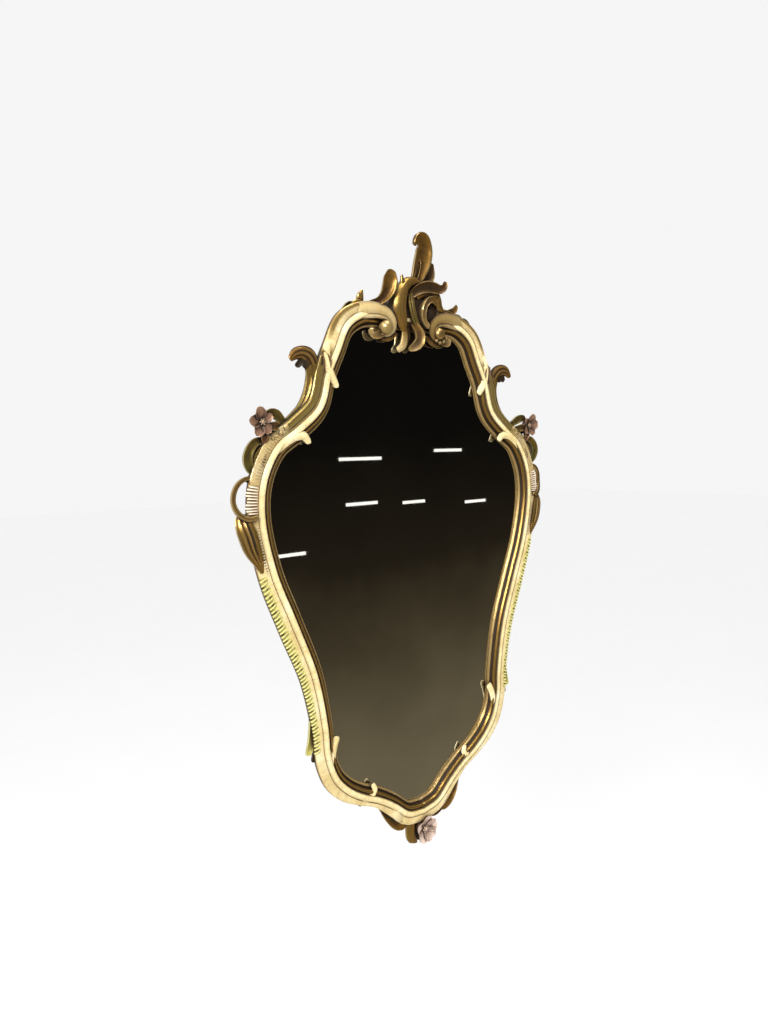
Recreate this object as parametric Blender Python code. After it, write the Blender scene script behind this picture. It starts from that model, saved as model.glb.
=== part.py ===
import math

import bmesh
import bpy
import numpy as np

# Overall sizes of the mirror, in metres
HALF_WIDTH = 0.310          # from the middle line to the outside of a side ring
HEIGHT = 0.980              # from the tip of the crest to the lowest petal
SHEET_ACROSS = 310          # squares of the drawing sheet across half the width
SHEET_DOWN = 980            # squares of the drawing sheet down the whole height
STEP_X = HALF_WIDTH / SHEET_ACROSS
STEP_Z = HEIGHT / SHEET_DOWN

# Depths, counted forward from the wall
PLATE_THICK = 0.0020        # steel hanging plate
FIT_GAP = 0.0003            # air left between two pieces
REBATE_DEPTH = 0.0175       # from the back of the frame to the front of the glass
GLASS_THICK = 0.0040
BOARD_THICK = 0.0040
ROLL_LIFT = 0.0150          # top of the inner roll above the glass
ROLL_SQUARES = 15           # squares of the drawing sheet over the same height
GLASS_SQUARES = 5.5         # lift of the front of the glass on the drawing sheet
STEP_Y = ROLL_LIFT / ROLL_SQUARES
FRAME_BACK = PLATE_THICK + FIT_GAP
GLASS_FRONT = FRAME_BACK + REBATE_DEPTH

# Section of the moulding, measured across it from the groove beside the roll
ROLL_WIDTH = 0.0105
GROOVE_DEPTH = 0.0030       # from the top of the roll down to the groove
SIGHT_INSET = 0.0230        # groove to the edge that shows round the glass
BEAD_LIFT = 0.0046
BEAD_WIDTH = 0.0042
FILLET_LIFT = 0.0118        # gilt fillet between bead and roll
FILLET_WIDTH = 0.0045
LIP_WIDTH = 0.0085          # the frame's hold on the front of the glass
UNDERCUT = 0.0155           # how far the back of the moulding steps in
EDGE_THICK = 0.0062         # thickness of the carved outer edge
EDGE_FALL = 0.0014          # drop of the band from the groove to its outer edge
REBATE_GAP = 0.0005         # play of the glass and board in the rebate

# Hanging plate and its screws
PLATE_WIDTH = 0.030
PLATE_TALL = 0.050
PLATE_LOW = 0.016           # part of the plate below the hanging point
KEY_HOLE_RADIUS = 0.0045
KEY_SLOT_RADIUS = 0.0022
KEY_HOLE_UP = 0.0095        # round end of the keyhole above the hanging point
KEY_SLOT_LONG = 0.0090
SCREW_RADIUS = 0.0016
SCREW_HEAD_RADIUS = 0.0034
SCREW_LONG = 0.0110
SCREW_INSET = 0.0060        # screw to the nearest end of the plate
SCREW_SLOT_WIDE = 0.0008
SCREW_SLOT_DEEP = 0.0005
POCKET_ROOM = 0.0010        # free depth beyond the point of a screw

# How finely round things are divided
FINE_SPANS = 10             # points drawn between two rows before thinning out
RAIL_TURN = math.radians(10)
RAIL_RUN = 0.055
LEAF_TURN = math.radians(30)
SCREW_SIDES = 12
SMOOTH_ANGLE = math.radians(38)
LEAST_STEP = 0.0005         # each point of a leaf's section moves on by this much

# Middle of the groove beside the roll, right half, from the foot up to the crest:
# squares across, squares up, width of the flat band outside it, share of full height
RAIL = [
    (0, -810, 13, 1), (34, -803, 13, 1), (66, -777, 11, 1), (95, -757, 7, 1),
    (124, -742, 8, 1), (152, -721, 12, 1), (173, -695, 14, 1), (186, -655, 15, 1),
    (189, -612, 15, 1), (203, -533, 17, 1), (232, -453, 19, 1), (261, -376, 17, 1),
    (275, -298, 15, 1), (268, -246, 15, 1), (244, -204, 15, 1), (212, -181, 15, 1),
    (177, -150, 16, 1), (162, -104, 17, 1), (146, -71, 18, 1), (127, -34, 17, 1),
    (98, -15, 14, 0.95), (62, -10, 12, 0.5), (0, -10, 12, 0.45),
]

# Leaves and scrolls: rows of squares across, squares up, lift above the glass,
# half width and thickness, from the root to the tip
TWO_SIDED = {
    "lobe_tip": [(151, -80, 16, 5.5, 9), (147, -98, 17, 5.2, 8), (143, -112, 15, 4.4, 6),
                 (139.5, -123, 12, 3.2, 5), (135, -128, 11, 1.6, 3)],
    "waist_tip": [(236, -206, 16, 6, 9), (219, -194, 19, 6.2, 9), (204, -190, 18, 5.6, 7),
                  (194, -195, 15, 4.4, 6), (190, -206, 12, 2.2, 4)],
    "low_tip": [(179, -674, 15, 5.5, 8), (176, -657, 17, 5.2, 7), (170.5, -642, 15, 4.6, 6),
                (163, -631, 13, 4.4, 5)],
    "foot_tip": [(126, -737, 14, 5.6, 8), (112, -742, 18, 5.8, 8), (102, -740, 19, 5.2, 7),
                 (97.5, -732, 17, 4.2, 6), (102, -725, 14, 2.4, 4)],
    "volute": [(112, -22, 15, 10, 10), (97, -14, 18, 12, 12), (81, -11, 20, 12, 13),
               (65, -11, 21, 11, 14), (50, -15.5, 21, 9.5, 13), (41, -25, 20, 7.5, 12),
               (41, -36, 18, 5.2, 10), (49, -43, 16, 3.6, 8), (60, -44, 14, 2.2, 5)],
    "under_curl": [(58, -39, 14, 5.5, 7), (68, -45, 13, 5, 6), (76, -46, 13, 4.2, 5),
                   (80, -40, 11, 2.6, 4)],
    "crest_bud": [(92, -6, 8, 5, 8), (94, 3, 12, 6, 9), (93, 10, 13, 5, 8), (90, 15, 12, 2, 4)],
    "crest_fringe": [(102, -6, 9, 5, 8), (114, -6, 11, 6, 7), (125, -17, 11, 5.5, 6),
                     (133, -30, 9, 2.5, 4)],
    "shoulder_leaf": [(232, -178, 9, 5, 10), (210, -168, 10, 8, 11), (189, -152, 10, 10.5, 11),
                      (178, -128, 11, 11.5, 11), (178, -104, 13, 12, 9),
                      (184, -87, 18, 12, 8), (195, -77, 21, 10, 7), (207, -79, 20, 7, 6),
                      (214, -87, 16, 3.5, 4)],
    "flower_stem": [(236, -198, 7, 8, 10), (252, -187, 11, 9, 10), (266, -178, 14, 7, 9)],
    "green_leaf": [(261, -197, 13, 6, 8), (275, -206, 18, 10, 8), (281, -221, 19, 11, 8),
                   (278, -236, 17, 8, 8), (270, -245, 14, 4, 7)],
    "long_leaf": [(299, -286, 10, 5, 6), (294, -306, 14, 10.5, 8), (284, -328, 17, 12, 9),
                  (275, -349, 17, 9.5, 9), (266, -370, 16, 3.5, 8)],
    "side_flare": [(204, -588, 8, 5, 8), (202, -611, 9, 6.5, 8), (205, -631, 11, 6.5, 7),
                   (211, -645, 12, 5, 5)],
    "foot_scroll": [(64, -784, 9, 7, 9), (62, -799, 12, 7.5, 8), (53, -809, 15, 6.5, 8),
                    (41, -811, 15, 4.5, 7), (32, -805, 12, 2.4, 4)],
}
CREST = {
    "trunk": [(-19, -34, 18, 7, 10), (-26, -15, 26, 11.5, 18), (-27, 6, 27, 12.5, 19),
              (-20, 26, 24, 11.5, 16), (-10, 39, 21, 9.5, 12), (2, 46, 21, 6, 8),
              (12, 46, 20, 2.8, 5)],
    "green_rib": [(20, -40, 15, 6, 7), (9, -18, 19, 9, 13), (1, 4, 19, 9.5, 15),
                  (0, 24, 16, 8, 12), (5, 38, 13, 5, 8)],
    "spoon_leaf": [(-88, -3, 15, 4, 8), (-71, 2, 18, 5, 9), (-58, 11, 20, 7.5, 8),
                   (-50, 25, 22, 11.5, 7), (-47, 39, 24, 11.5, 6), (-48, 46, 28, 7, 4)],
    "wing_leaf": [(2, 24, 15, 6, 10), (18, 33, 20, 7.5, 9), (36, 37, 23, 8.5, 8),
                  (52, 41, 25, 7, 6), (65, 47, 24, 3.5, 5)],
    "wing_spur": [(26, 19, 14, 6, 9), (40, 22, 17, 6.5, 8), (51, 24, 16, 3, 5)],
    "open_scroll": [(50, 9, 14, 4.5, 9), (36, 10, 19, 5, 10), (25, 2, 21, 5, 11),
                    (21, -11, 21, 5, 11), (27, -25, 18, 4, 9)],
    "finial": [(6, 34, 13, 6, 10), (11, 50, 15, 10.5, 10), (17, 64, 14, 15, 9),
               (22, 79, 13, 16.5, 8), (22, 93, 15, 15.5, 7), (17, 104, 19, 12, 6),
               (8, 108, 23, 8, 5)],
    "finial_back_leaf": [(20, 38, 9, 6, 9), (34, 47, 9, 9, 8), (43, 60, 8, 9, 7),
                         (48, 75, 8, 4, 5)],
    "drop_leaf": [(4, -26, 15, 7, 9), (4, -41, 18, 9, 9), (-1, -53, 17, 8, 7),
                  (-10, -62, 12, 3.5, 4)],
    "drop_tip": [(-12, -32, 15, 5, 8), (-18, -45, 17, 5.5, 8), (-23, -56, 15, 4.6, 6),
                 (-29, -65, 11, 2.6, 4)],
}
FOOT = {
    "bulb_leaf": [(-17, -806, 12, 7, 9), (-27, -820, 16, 9, 10), (-30, -836, 17, 9, 9),
                  (-24, -850, 14, 6.5, 8), (-14, -856, 12, 3, 5)],
    "dark_leaf": [(-6, -812, 8, 8, 8), (-10, -834, 9, 9, 7), (-6, -851, 9, 6, 6),
                  (-3, -858, 8, 2.4, 4)],
    "right_leaf": [(16, -806, 10, 7, 9), (29, -815, 12, 6.5, 8), (41, -810, 13, 5, 7),
                   (48, -802, 12, 2.4, 4)],
    "cream_leaf": [(-66, -778, 14, 6, 8), (-60, -790, 19, 9, 8), (-54, -799, 17, 5, 6)],
}
CUPPED = {
    "spoon_leaf": 0.45, "finial": 0.40, "wing_leaf": -0.30, "shoulder_leaf": -0.25,
    "drop_leaf": 0.35, "green_leaf": -0.35, "long_leaf": -0.25, "volute": -0.15,
    "open_scroll": 0.30,
}
FLUTED = {"trunk": 0.22, "shoulder_leaf": 0.18, "green_rib": 0.20, "finial": 0.12,
          "long_leaf": 0.18}

# Block of wood behind the crest leaves: squares across and up
CREST_BLOCK = [
    (-66, -14), (-58, 0), (-42, 11), (-28, 26), (-18, 39), (6, 46), (26, 43), (36, 30),
    (48, 16), (58, 2), (66, -14),
]
CREST_BLOCK_LIFT = 12
CREST_BLOCK_TAPER = 0.88

# Side ring: middle of the bar, squares across and up, lift, and half thickness
RING = [
    (264, -248, 11), (281, -248, 12), (296, -252, 11), (305, -264, 10), (307, -278, 9),
    (301, -290, 9), (289, -296, 9), (272, -293, 9),
]
RING_BAR = 3.0
RING_SIDES = 6

# Balls: squares across, up, lift, radius
SIDE_BALLS = {
    "volute_ball": (53.6, -33.4, 17, 10.5),
    "shoulder_bud": (229, -178, 14, 9),
    "lower_bud": (244, -192, 15, 7),
    "foot_bump": (119, -751, 8, 6),
}
BALL_RINGS = 4
BALL_SIDES = 7

# Flowers: squares across, up, lift, outer radius
SIDE_FLOWER = (266, -177, 22, 20)
FOOT_FLOWER = (6, -838, 17, 20)
PETALS = 5
PETAL_WIDTH = 0.42          # half width of a petal as a share of the flower's radius
PETAL_RISE = 0.34           # how far a petal's tip stands forward
BUTTON_SHARE = 0.26         # radius of the middle button
FLOWER_ROOT = 12            # how far the knob under a flower reaches back
FLOWER_ROOT_SHARE = 0.55    # radius of that knob


def clear_scene():
    for item in list(bpy.data.objects):
        bpy.data.objects.remove(item, do_unlink=True)


def on_sheet(across, up, lift):
    """A point of the drawing sheet in the mirror's own frame, in metres."""
    return np.array([across * STEP_X, -GLASS_FRONT - (lift - GLASS_SQUARES) * STEP_Y, up * STEP_Z])


def spread(rows, spans):
    """A smooth line through rows of numbers, with extra rows between each two."""
    pts = np.array(rows, float)
    ends = np.vstack([2 * pts[0] - pts[1], pts, 2 * pts[-1] - pts[-2]])
    line = []
    for i in range(1, len(ends) - 2):
        p = ends[i - 1:i + 3]
        knot = [0.0]
        for a, b in zip(p, p[1:]):
            knot.append(knot[-1] + math.sqrt(max(np.linalg.norm(b[:2] - a[:2]), 1e-6)))
        for k in range(spans):
            t = knot[1] + (knot[2] - knot[1]) * k / spans
            level = list(p)
            for width in (1, 2, 3):
                low = [0, 1, 2][:len(level) - 1]
                if width == 3:
                    start, stop = [knot[1]], [knot[2]]
                elif width == 2:
                    start, stop = [knot[0], knot[1]], [knot[2], knot[3]]
                else:
                    start, stop = knot[:3], knot[1:]
                level = [
                    level[j] + (level[j + 1] - level[j]) * (t - start[j]) / (stop[j] - start[j])
                    for j in low
                ]
            line.append(level[0])
    line.append(pts[-1])
    return np.array(line)


def thin_out(line, turn, run, rows):
    """Keep only the points of a fine line that its bends, length or rows need."""
    place = line[:, :2] * np.array([STEP_X, STEP_Z])
    kept = [0]
    bend = 0.0
    for i in range(1, len(line) - 1):
        a = place[i] - place[i - 1]
        b = place[i + 1] - place[i]
        bend += abs(math.atan2(a[0] * b[1] - a[1] * b[0], np.dot(a, b)))
        far = np.linalg.norm(place[i] - place[kept[-1]])
        if bend > turn or far > run or (rows and i % FINE_SPANS == 0):
            kept.append(i)
            bend = 0.0
    kept.append(len(line) - 1)
    return line[kept]


def unit(vector):
    return vector / max(np.linalg.norm(vector), 1e-9)


def new_object(name, bm):
    bmesh.ops.recalc_face_normals(bm, faces=bm.faces)
    mesh = bpy.data.meshes.new(name)
    bm.to_mesh(mesh)
    bm.free()
    item = bpy.data.objects.new(name, mesh)
    bpy.context.scene.collection.objects.link(item)
    return item


def loft(name, rings, closed):
    """A solid through rings of points; an open one is capped at both ends."""
    bm = bmesh.new()
    loops = [[bm.verts.new(p) for p in ring] for ring in rings]
    count = len(loops[0])
    pairs = list(zip(loops, loops[1:]))
    if closed:
        pairs.append((loops[-1], loops[0]))
    for low, high in pairs:
        for k in range(count):
            n = (k + 1) % count
            bm.faces.new((low[k], low[n], high[n], high[k]))
    if not closed:
        bm.faces.new(list(reversed(loops[0])))
        bm.faces.new(loops[-1])
    return new_object(name, bm)


def rail_stations():
    """Points round the whole moulding with the outward direction at each."""
    half = thin_out(spread(RAIL, FINE_SPANS), RAIL_TURN, RAIL_RUN, False)
    left = half[1:-1][::-1] * np.array([-1, 1, 1, 1])
    loop = np.vstack([half, left])
    place = np.stack([loop[:, 0] * STEP_X, loop[:, 1] * STEP_Z], 1)
    ahead = np.roll(place, -1, 0) - np.roll(place, 1, 0)
    ahead /= np.linalg.norm(ahead, axis=1)[:, None]
    outward = np.stack([ahead[:, 1], -ahead[:, 0]], 1)
    return place, outward, loop[:, 2] * STEP_X, loop[:, 3]


def station_point(place, outward, off, front):
    """A point at a distance outward from the groove and forward of the wall."""
    x, z = place + outward * off
    return (x, -front, z)


def moulding_section(band, full):
    """Outline across the moulding: distance from the groove, distance from the wall."""
    front = GLASS_FRONT
    roll = ROLL_LIFT * full
    groove = front + roll - GROOVE_DEPTH * full
    edge = groove - EDGE_FALL
    bead = BEAD_LIFT * full
    fillet = front + FILLET_LIFT * full
    lip_back = front + FIT_GAP
    bead_in = -SIGHT_INSET
    bead_out = bead_in + BEAD_WIDTH
    fillet_out = -ROLL_WIDTH - BEAD_WIDTH * 0.3
    wall_in = -SIGHT_INSET + LIP_WIDTH
    return [
        (bead_in, lip_back),
        (bead_in + BEAD_WIDTH * 0.12, front + bead * 0.85),
        (bead_in + BEAD_WIDTH * 0.5, front + bead),
        (bead_out, front + bead * 0.6),
        (fillet_out - FILLET_WIDTH, fillet - FILLET_WIDTH * full),
        (fillet_out - FILLET_WIDTH * 0.5, fillet),
        (fillet_out, fillet - FILLET_WIDTH * full * 0.3),
        (-ROLL_WIDTH * 0.8, front + roll * 0.95),
        (-ROLL_WIDTH * 0.5, front + roll),
        (-ROLL_WIDTH * 0.06, groove),
        (band * 0.14, groove + GROOVE_DEPTH * 0.20),
        (band, edge),
        (band, edge - EDGE_THICK),
        (band - UNDERCUT, FRAME_BACK),
        (wall_in, FRAME_BACK),
        (wall_in, lip_back),
    ]


def make_moulding():
    rings = [
        [station_point(p, o, off, front) for off, front in moulding_section(band, full)]
        for p, o, band, full in zip(*rail_stations())
    ]
    return loft("moulding", rings, True)


def make_sheet(name, front, thick):
    """A flat sheet that lies in the rebate with a little play all round."""
    places, outwards, _, _ = rail_stations()
    off = -SIGHT_INSET + LIP_WIDTH - REBATE_GAP
    rings = [
        [station_point(p, o, off, depth) for p, o in zip(places, outwards)]
        for depth in (front, front - thick)
    ]
    return loft(name, rings, False)


def move_on(ring, rings, along):
    """Hold a ring's points ahead of the ring before, so a tight curl can't cross itself."""
    if not rings:
        return ring
    held = []
    for point, last in zip(ring, rings[-1]):
        short = LEAST_STEP - np.dot(point - last, along)
        held.append(point + along * max(short, 0))
    return held


def make_leaf(name, rows, side):
    """A carved leaf: its spine in rows, its section dished, arched or fluted."""
    cup = CUPPED.get(name, -0.2)
    flute = FLUTED.get(name, 0)
    line = spread([(x * side, z, lift, w, t) for x, z, lift, w, t in rows], FINE_SPANS)
    line = thin_out(line, LEAF_TURN, HEIGHT, True)
    spine = [on_sheet(row[0], row[1], row[2]) for row in line]
    shares = (-1, -0.5, 0, 0.5, 1) if flute else (-1, 0, 1)
    face = np.array([0.0, -1.0, 0.0])
    rings = []
    for i, point in enumerate(spine):
        along = unit(spine[min(i + 1, len(spine) - 1)] - spine[max(i - 1, 0)])
        face = unit(face - along * np.dot(face, along))
        across = np.cross(along, face)
        wide = line[i][3] * STEP_X
        thick = line[i][4] * STEP_Y
        ring = []
        for share in shares:
            ridge = flute * math.cos(share * math.tau)
            ring.append(point + across * wide * share
                        + face * wide * (cup * share * share + ridge))
        for share, deep in ((0.8, 0.75), (0, 1), (-0.8, 0.75)):
            ring.append(point + across * wide * share
                        + face * (cup * wide * share * share - deep * thick))
        rings.append(move_on(ring, rings, along))
    return loft(name, rings, False)


def make_ring(side):
    line = spread([(x * side, z, lift) for x, z, lift in RING], FINE_SPANS)
    line = thin_out(line, LEAF_TURN, HEIGHT, True)
    spine = [on_sheet(*row) for row in line]
    face = np.array([0.0, -1.0, 0.0])
    rings = []
    for i, point in enumerate(spine):
        along = unit(spine[min(i + 1, len(spine) - 1)] - spine[max(i - 1, 0)])
        face = unit(face - along * np.dot(face, along))
        across = np.cross(along, face)
        turns = [math.tau * k / RING_SIDES for k in range(RING_SIDES)]
        ring = [
            point + RING_BAR * (across * STEP_X * math.cos(a) + face * STEP_Y * math.sin(a))
            for a in turns
        ]
        rings.append(move_on(ring, rings, along))
    return loft("ring", rings, False)


def make_ball(name, spot, side):
    across, up, lift, radius = spot
    bm = bmesh.new()
    bmesh.ops.create_uvsphere(bm, u_segments=BALL_SIDES, v_segments=BALL_RINGS,
                              radius=radius * STEP_X)
    centre = on_sheet(across * side, up, lift)
    bmesh.ops.translate(bm, verts=bm.verts, vec=centre)
    return new_object(name, bm)


def make_flower(name, spot, side):
    """Five petals round a button, on a knob that reaches back into the frame."""
    across, up, lift, radius = spot
    root = (across, up, lift - FLOWER_ROOT / 2 - 1, radius * FLOWER_ROOT_SHARE)
    button = (across, up, lift + 1, radius * BUTTON_SHARE)
    pieces = [make_ball(name + "_root", root, side), make_ball(name + "_button", button, side)]
    for k in range(PETALS):
        turn = math.tau * k / PETALS + math.tau / 4
        rows = []
        for far, wide, rise, thick in ((0.1, 0.5, -0.2, 6), (0.6, 1, 0.1, 6), (1, 0.55, 0.32, 4)):
            rows.append((
                across * side + math.cos(turn) * radius * far,
                up + math.sin(turn) * radius * far,
                lift + rise * radius * PETAL_RISE,
                wide * radius * PETAL_WIDTH,
                thick,
            ))
        pieces.append(make_leaf(name + "_petal", rows, 1))
    return pieces


def make_crest_block():
    rings = []
    for share, lift in ((1, None), (CREST_BLOCK_TAPER, CREST_BLOCK_LIFT)):
        ring = []
        for across, up in CREST_BLOCK:
            point = on_sheet(across * share, up * share, lift or 0)
            if lift is None:
                point[1] = -FRAME_BACK
            ring.append(point)
        rings.append(ring)
    return loft("crest_block", rings, False)


def make_disc(name, radius_back, radius_front, back, front, up):
    """A round peg lying along the depth, between two distances from the wall."""
    turns = [math.tau * k / SCREW_SIDES for k in range(SCREW_SIDES)]
    rings = [
        [(math.cos(a) * radius, -depth, up + math.sin(a) * radius) for a in turns]
        for radius, depth in ((radius_back, back), (radius_front, front))
    ]
    return loft(name, rings, False)


def make_box(name, low, high):
    rings = [
        [(low[0], y, low[2]), (high[0], y, low[2]), (high[0], y, high[2]), (low[0], y, high[2])]
        for y in (low[1], high[1])
    ]
    return loft(name, rings, False)


def combine(base, tool, action):
    """Join or cut two solids and keep the result in the first."""
    step = base.modifiers.new(action.title(), "BOOLEAN")
    step.operation = action
    step.solver = "MANIFOLD" if action == "UNION" else "EXACT"
    step.object = tool
    graph = bpy.context.evaluated_depsgraph_get()
    done = bpy.data.meshes.new_from_object(base.evaluated_get(graph))
    base.modifiers.clear()
    base.data = done
    bpy.data.objects.remove(tool, do_unlink=True)


def tidy(item):
    bm = bmesh.new()
    bm.from_mesh(item.data)
    bmesh.ops.triangulate(bm, faces=bm.faces)
    bmesh.ops.recalc_face_normals(bm, faces=bm.faces)
    bm.to_mesh(item.data)
    bm.free()


def finish_piece(item, name, colour, rough, metal):
    item.name = name
    item.data.name = name
    paint = bpy.data.materials.new(name + "_paint")
    paint.use_nodes = True
    shader = paint.node_tree.nodes["Principled BSDF"]
    shader.inputs["Base Color"].default_value = (*colour, 1)
    shader.inputs["Roughness"].default_value = rough
    shader.inputs["Metallic"].default_value = metal
    item.data.materials.clear()
    item.data.materials.append(paint)
    item.data.shade_smooth()
    item.data.set_sharp_from_angle(angle=SMOOTH_ANGLE)


def screw_heights():
    low = -PLATE_LOW + SCREW_INSET
    high = PLATE_TALL - PLATE_LOW - SCREW_INSET
    return {"upper": high, "lower": low}


def make_frame():
    frame = make_moulding()
    parts = [make_crest_block()]
    for name, rows in CREST.items():
        parts.append(make_leaf(name, rows, 1))
    for name, rows in FOOT.items():
        parts.append(make_leaf(name, rows, 1))
    for side in (1, -1):
        for name, rows in TWO_SIDED.items():
            parts.append(make_leaf(name, rows, side))
        for name, spot in SIDE_BALLS.items():
            parts.append(make_ball(name, spot, side))
        parts.append(make_ring(side))
        parts += make_flower("side_flower", SIDE_FLOWER, side)
    parts += make_flower("foot_flower", FOOT_FLOWER, 1)
    for part in parts:
        combine(frame, part, "UNION")
    for up in screw_heights().values():
        reach = FRAME_BACK + SCREW_LONG + POCKET_ROOM
        pocket = make_disc("pocket", SCREW_RADIUS + FIT_GAP, SCREW_RADIUS + FIT_GAP,
                           0, reach, up)
        combine(frame, pocket, "DIFFERENCE")
    tidy(frame)
    return frame


def make_plate():
    low = (-PLATE_WIDTH / 2, 0, -PLATE_LOW)
    high = (PLATE_WIDTH / 2, -PLATE_THICK, PLATE_TALL - PLATE_LOW)
    plate = make_box("plate", low, high)
    over = FIT_GAP
    combine(plate, make_disc("key_hole", KEY_HOLE_RADIUS, KEY_HOLE_RADIUS,
                             -over, PLATE_THICK + over, KEY_HOLE_UP), "DIFFERENCE")
    top = KEY_HOLE_UP + KEY_SLOT_LONG
    slot = make_box("slot", (-KEY_SLOT_RADIUS, over, KEY_HOLE_UP),
                    (KEY_SLOT_RADIUS, -PLATE_THICK - over, top))
    combine(plate, slot, "DIFFERENCE")
    combine(plate, make_disc("slot_end", KEY_SLOT_RADIUS, KEY_SLOT_RADIUS,
                             -over, PLATE_THICK + over, top), "DIFFERENCE")
    grow = (SCREW_HEAD_RADIUS - SCREW_RADIUS) / PLATE_THICK * over
    for up in screw_heights().values():
        hole = make_disc("sink", SCREW_HEAD_RADIUS + FIT_GAP + grow,
                         SCREW_RADIUS + FIT_GAP - grow, -over, PLATE_THICK + over, up)
        combine(plate, hole, "DIFFERENCE")
    tidy(plate)
    return plate


def make_screw(name, up):
    screw = make_disc(name, SCREW_HEAD_RADIUS, SCREW_RADIUS, 0, PLATE_THICK, up)
    shank = make_disc("shank", SCREW_RADIUS, SCREW_RADIUS * 0.5, PLATE_THICK * 0.6,
                      FRAME_BACK + SCREW_LONG, up)
    combine(screw, shank, "UNION")
    half = SCREW_SLOT_WIDE / 2
    slot = make_box("slot", (-SCREW_HEAD_RADIUS * 2, SCREW_SLOT_WIDE, up - half),
                    (SCREW_HEAD_RADIUS * 2, -SCREW_SLOT_DEEP, up + half))
    combine(screw, slot, "DIFFERENCE")
    tidy(screw)
    return screw


clear_scene()
finish_piece(make_frame(), "carved_frame", (0.78, 0.64, 0.36), 0.45, 0)
glass = make_sheet("mirror_glass", GLASS_FRONT, GLASS_THICK)
finish_piece(glass, "mirror_glass", (0.80, 0.82, 0.82), 0.03, 1)
board_front = GLASS_FRONT - GLASS_THICK - FIT_GAP
board = make_sheet("back_board", board_front, BOARD_THICK)
finish_piece(board, "back_board", (0.30, 0.19, 0.10), 0.8, 0)
finish_piece(make_plate(), "hanging_plate", (0.62, 0.60, 0.56), 0.4, 1)
for place, height in screw_heights().items():
    name = place + "_screw"
    finish_piece(make_screw(name, height), name, (0.66, 0.60, 0.44), 0.35, 1)
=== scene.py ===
# %% [markdown]
# # A carved wall mirror in cream and gold
# The object is a tall waisted mirror in a scrolled moulding, with a leafy crest that leans off
# the middle line. The solids are made already. This script loads them, models the carving again
# at full detail, paints everything with procedural materials, and sets up light and camera.

# %% Load the solid model
import math

import bmesh
import bpy
import numpy as np
from mathutils import Matrix, Vector
from mathutils.bvhtree import BVHTree


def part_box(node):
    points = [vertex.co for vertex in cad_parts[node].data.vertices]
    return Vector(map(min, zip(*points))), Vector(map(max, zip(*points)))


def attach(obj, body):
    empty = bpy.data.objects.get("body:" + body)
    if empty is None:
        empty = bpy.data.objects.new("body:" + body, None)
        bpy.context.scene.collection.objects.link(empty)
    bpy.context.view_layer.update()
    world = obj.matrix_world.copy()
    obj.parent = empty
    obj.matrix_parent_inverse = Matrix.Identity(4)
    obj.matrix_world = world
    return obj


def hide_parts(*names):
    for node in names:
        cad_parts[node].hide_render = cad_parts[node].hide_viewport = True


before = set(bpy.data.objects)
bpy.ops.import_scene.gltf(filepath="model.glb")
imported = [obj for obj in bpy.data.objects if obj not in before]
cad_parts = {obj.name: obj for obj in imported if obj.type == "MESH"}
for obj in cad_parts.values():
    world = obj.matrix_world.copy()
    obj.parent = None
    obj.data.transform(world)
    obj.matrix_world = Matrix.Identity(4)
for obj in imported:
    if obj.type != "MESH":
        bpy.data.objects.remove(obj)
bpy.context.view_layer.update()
print("nodes:", sorted(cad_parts))

# %% [markdown]
# ## The drawing sheet
# The carving is drawn on a sheet of squares, as a carver would draw it on squared paper. One
# square is a fraction of the frame's width, so the drawing follows the solid model. A point has
# three numbers: squares across from the middle line, squares up from the hanging point, and
# lift, the squares that it stands forward. The glass lies at a lift of its own.

# %% Sheet and frame
frame_low, frame_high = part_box("carved_frame")
glass_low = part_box("mirror_glass")[0]
SQUARES_ACROSS = 620
SQUARE = (frame_high.x - frame_low.x) / SQUARES_ACROSS
GLASS_FRONT = -glass_low.y
GLASS_LIFT = 5.5
BACK_LIFT = GLASS_LIFT + (-frame_high.y - GLASS_FRONT) / SQUARE
SOFT_LIFT = 28.0
SOFT_SHARE = 0.5


def to_frame(points):
    """Points of the sheet in the frame's own metres; the very highest ones are eased down."""
    points = np.asarray(points, float)
    lift = points[..., 2]
    lift = np.where(lift > SOFT_LIFT, SOFT_LIFT + (lift - SOFT_LIFT) * SOFT_SHARE, lift)
    return np.stack([
        points[..., 0] * SQUARE,
        -GLASS_FRONT - (lift - GLASS_LIFT) * SQUARE,
        points[..., 1] * SQUARE,
    ], -1)


print("one square is", round(SQUARE * 1000, 3), "mm")

# %% [markdown]
# ## Smooth lines
# Every scroll starts as a few listed points. A centripetal spline runs through them
# without loops or overshoot, and it is then cut into even steps, so that the polygons have the
# same size all along.

# %% Splines and even steps
def smooth(rows, spans=14):
    """A smooth line through rows of numbers. The first two numbers of a row are its place."""
    rows = np.array(rows, float)
    pts = np.vstack([2 * rows[0] - rows[1], rows, 2 * rows[-1] - rows[-2]])
    gaps = np.linalg.norm(np.diff(pts[:, :2], axis=0), axis=1)
    knots = np.concatenate([[0], np.cumsum(np.sqrt(np.maximum(gaps, 0.01)))])
    line = []
    for i in range(1, len(pts) - 2):
        t = np.linspace(knots[i], knots[i + 1], spans, endpoint=False)[:, None]
        level = [pts[i - 1 + k] for k in range(4)]
        for starts, stops in ((knots[i - 1:i + 2], knots[i:i + 3]),
                              (knots[i - 1:i + 1], knots[i + 1:i + 3]),
                              (knots[i:i + 1], knots[i + 1:i + 2])):
            level = [
                low + (high - low) * (t - a) / (b - a)
                for low, high, a, b in zip(level, level[1:], starts, stops)
            ]
        line.append(level[0])
    line.append(rows[-1:])
    return np.vstack(line)


def even_steps(line, step, dims=2):
    """The same line, cut into steps of one length along its first numbers."""
    run = np.concatenate([[0], np.cumsum(np.linalg.norm(np.diff(line[:, :dims], axis=0), axis=1))])
    count = max(int(round(run[-1] / step)), 3)
    at = np.linspace(0, run[-1], count + 1)
    return np.stack([np.interp(at, run, line[:, k]) for k in range(line.shape[1])], 1)


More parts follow.
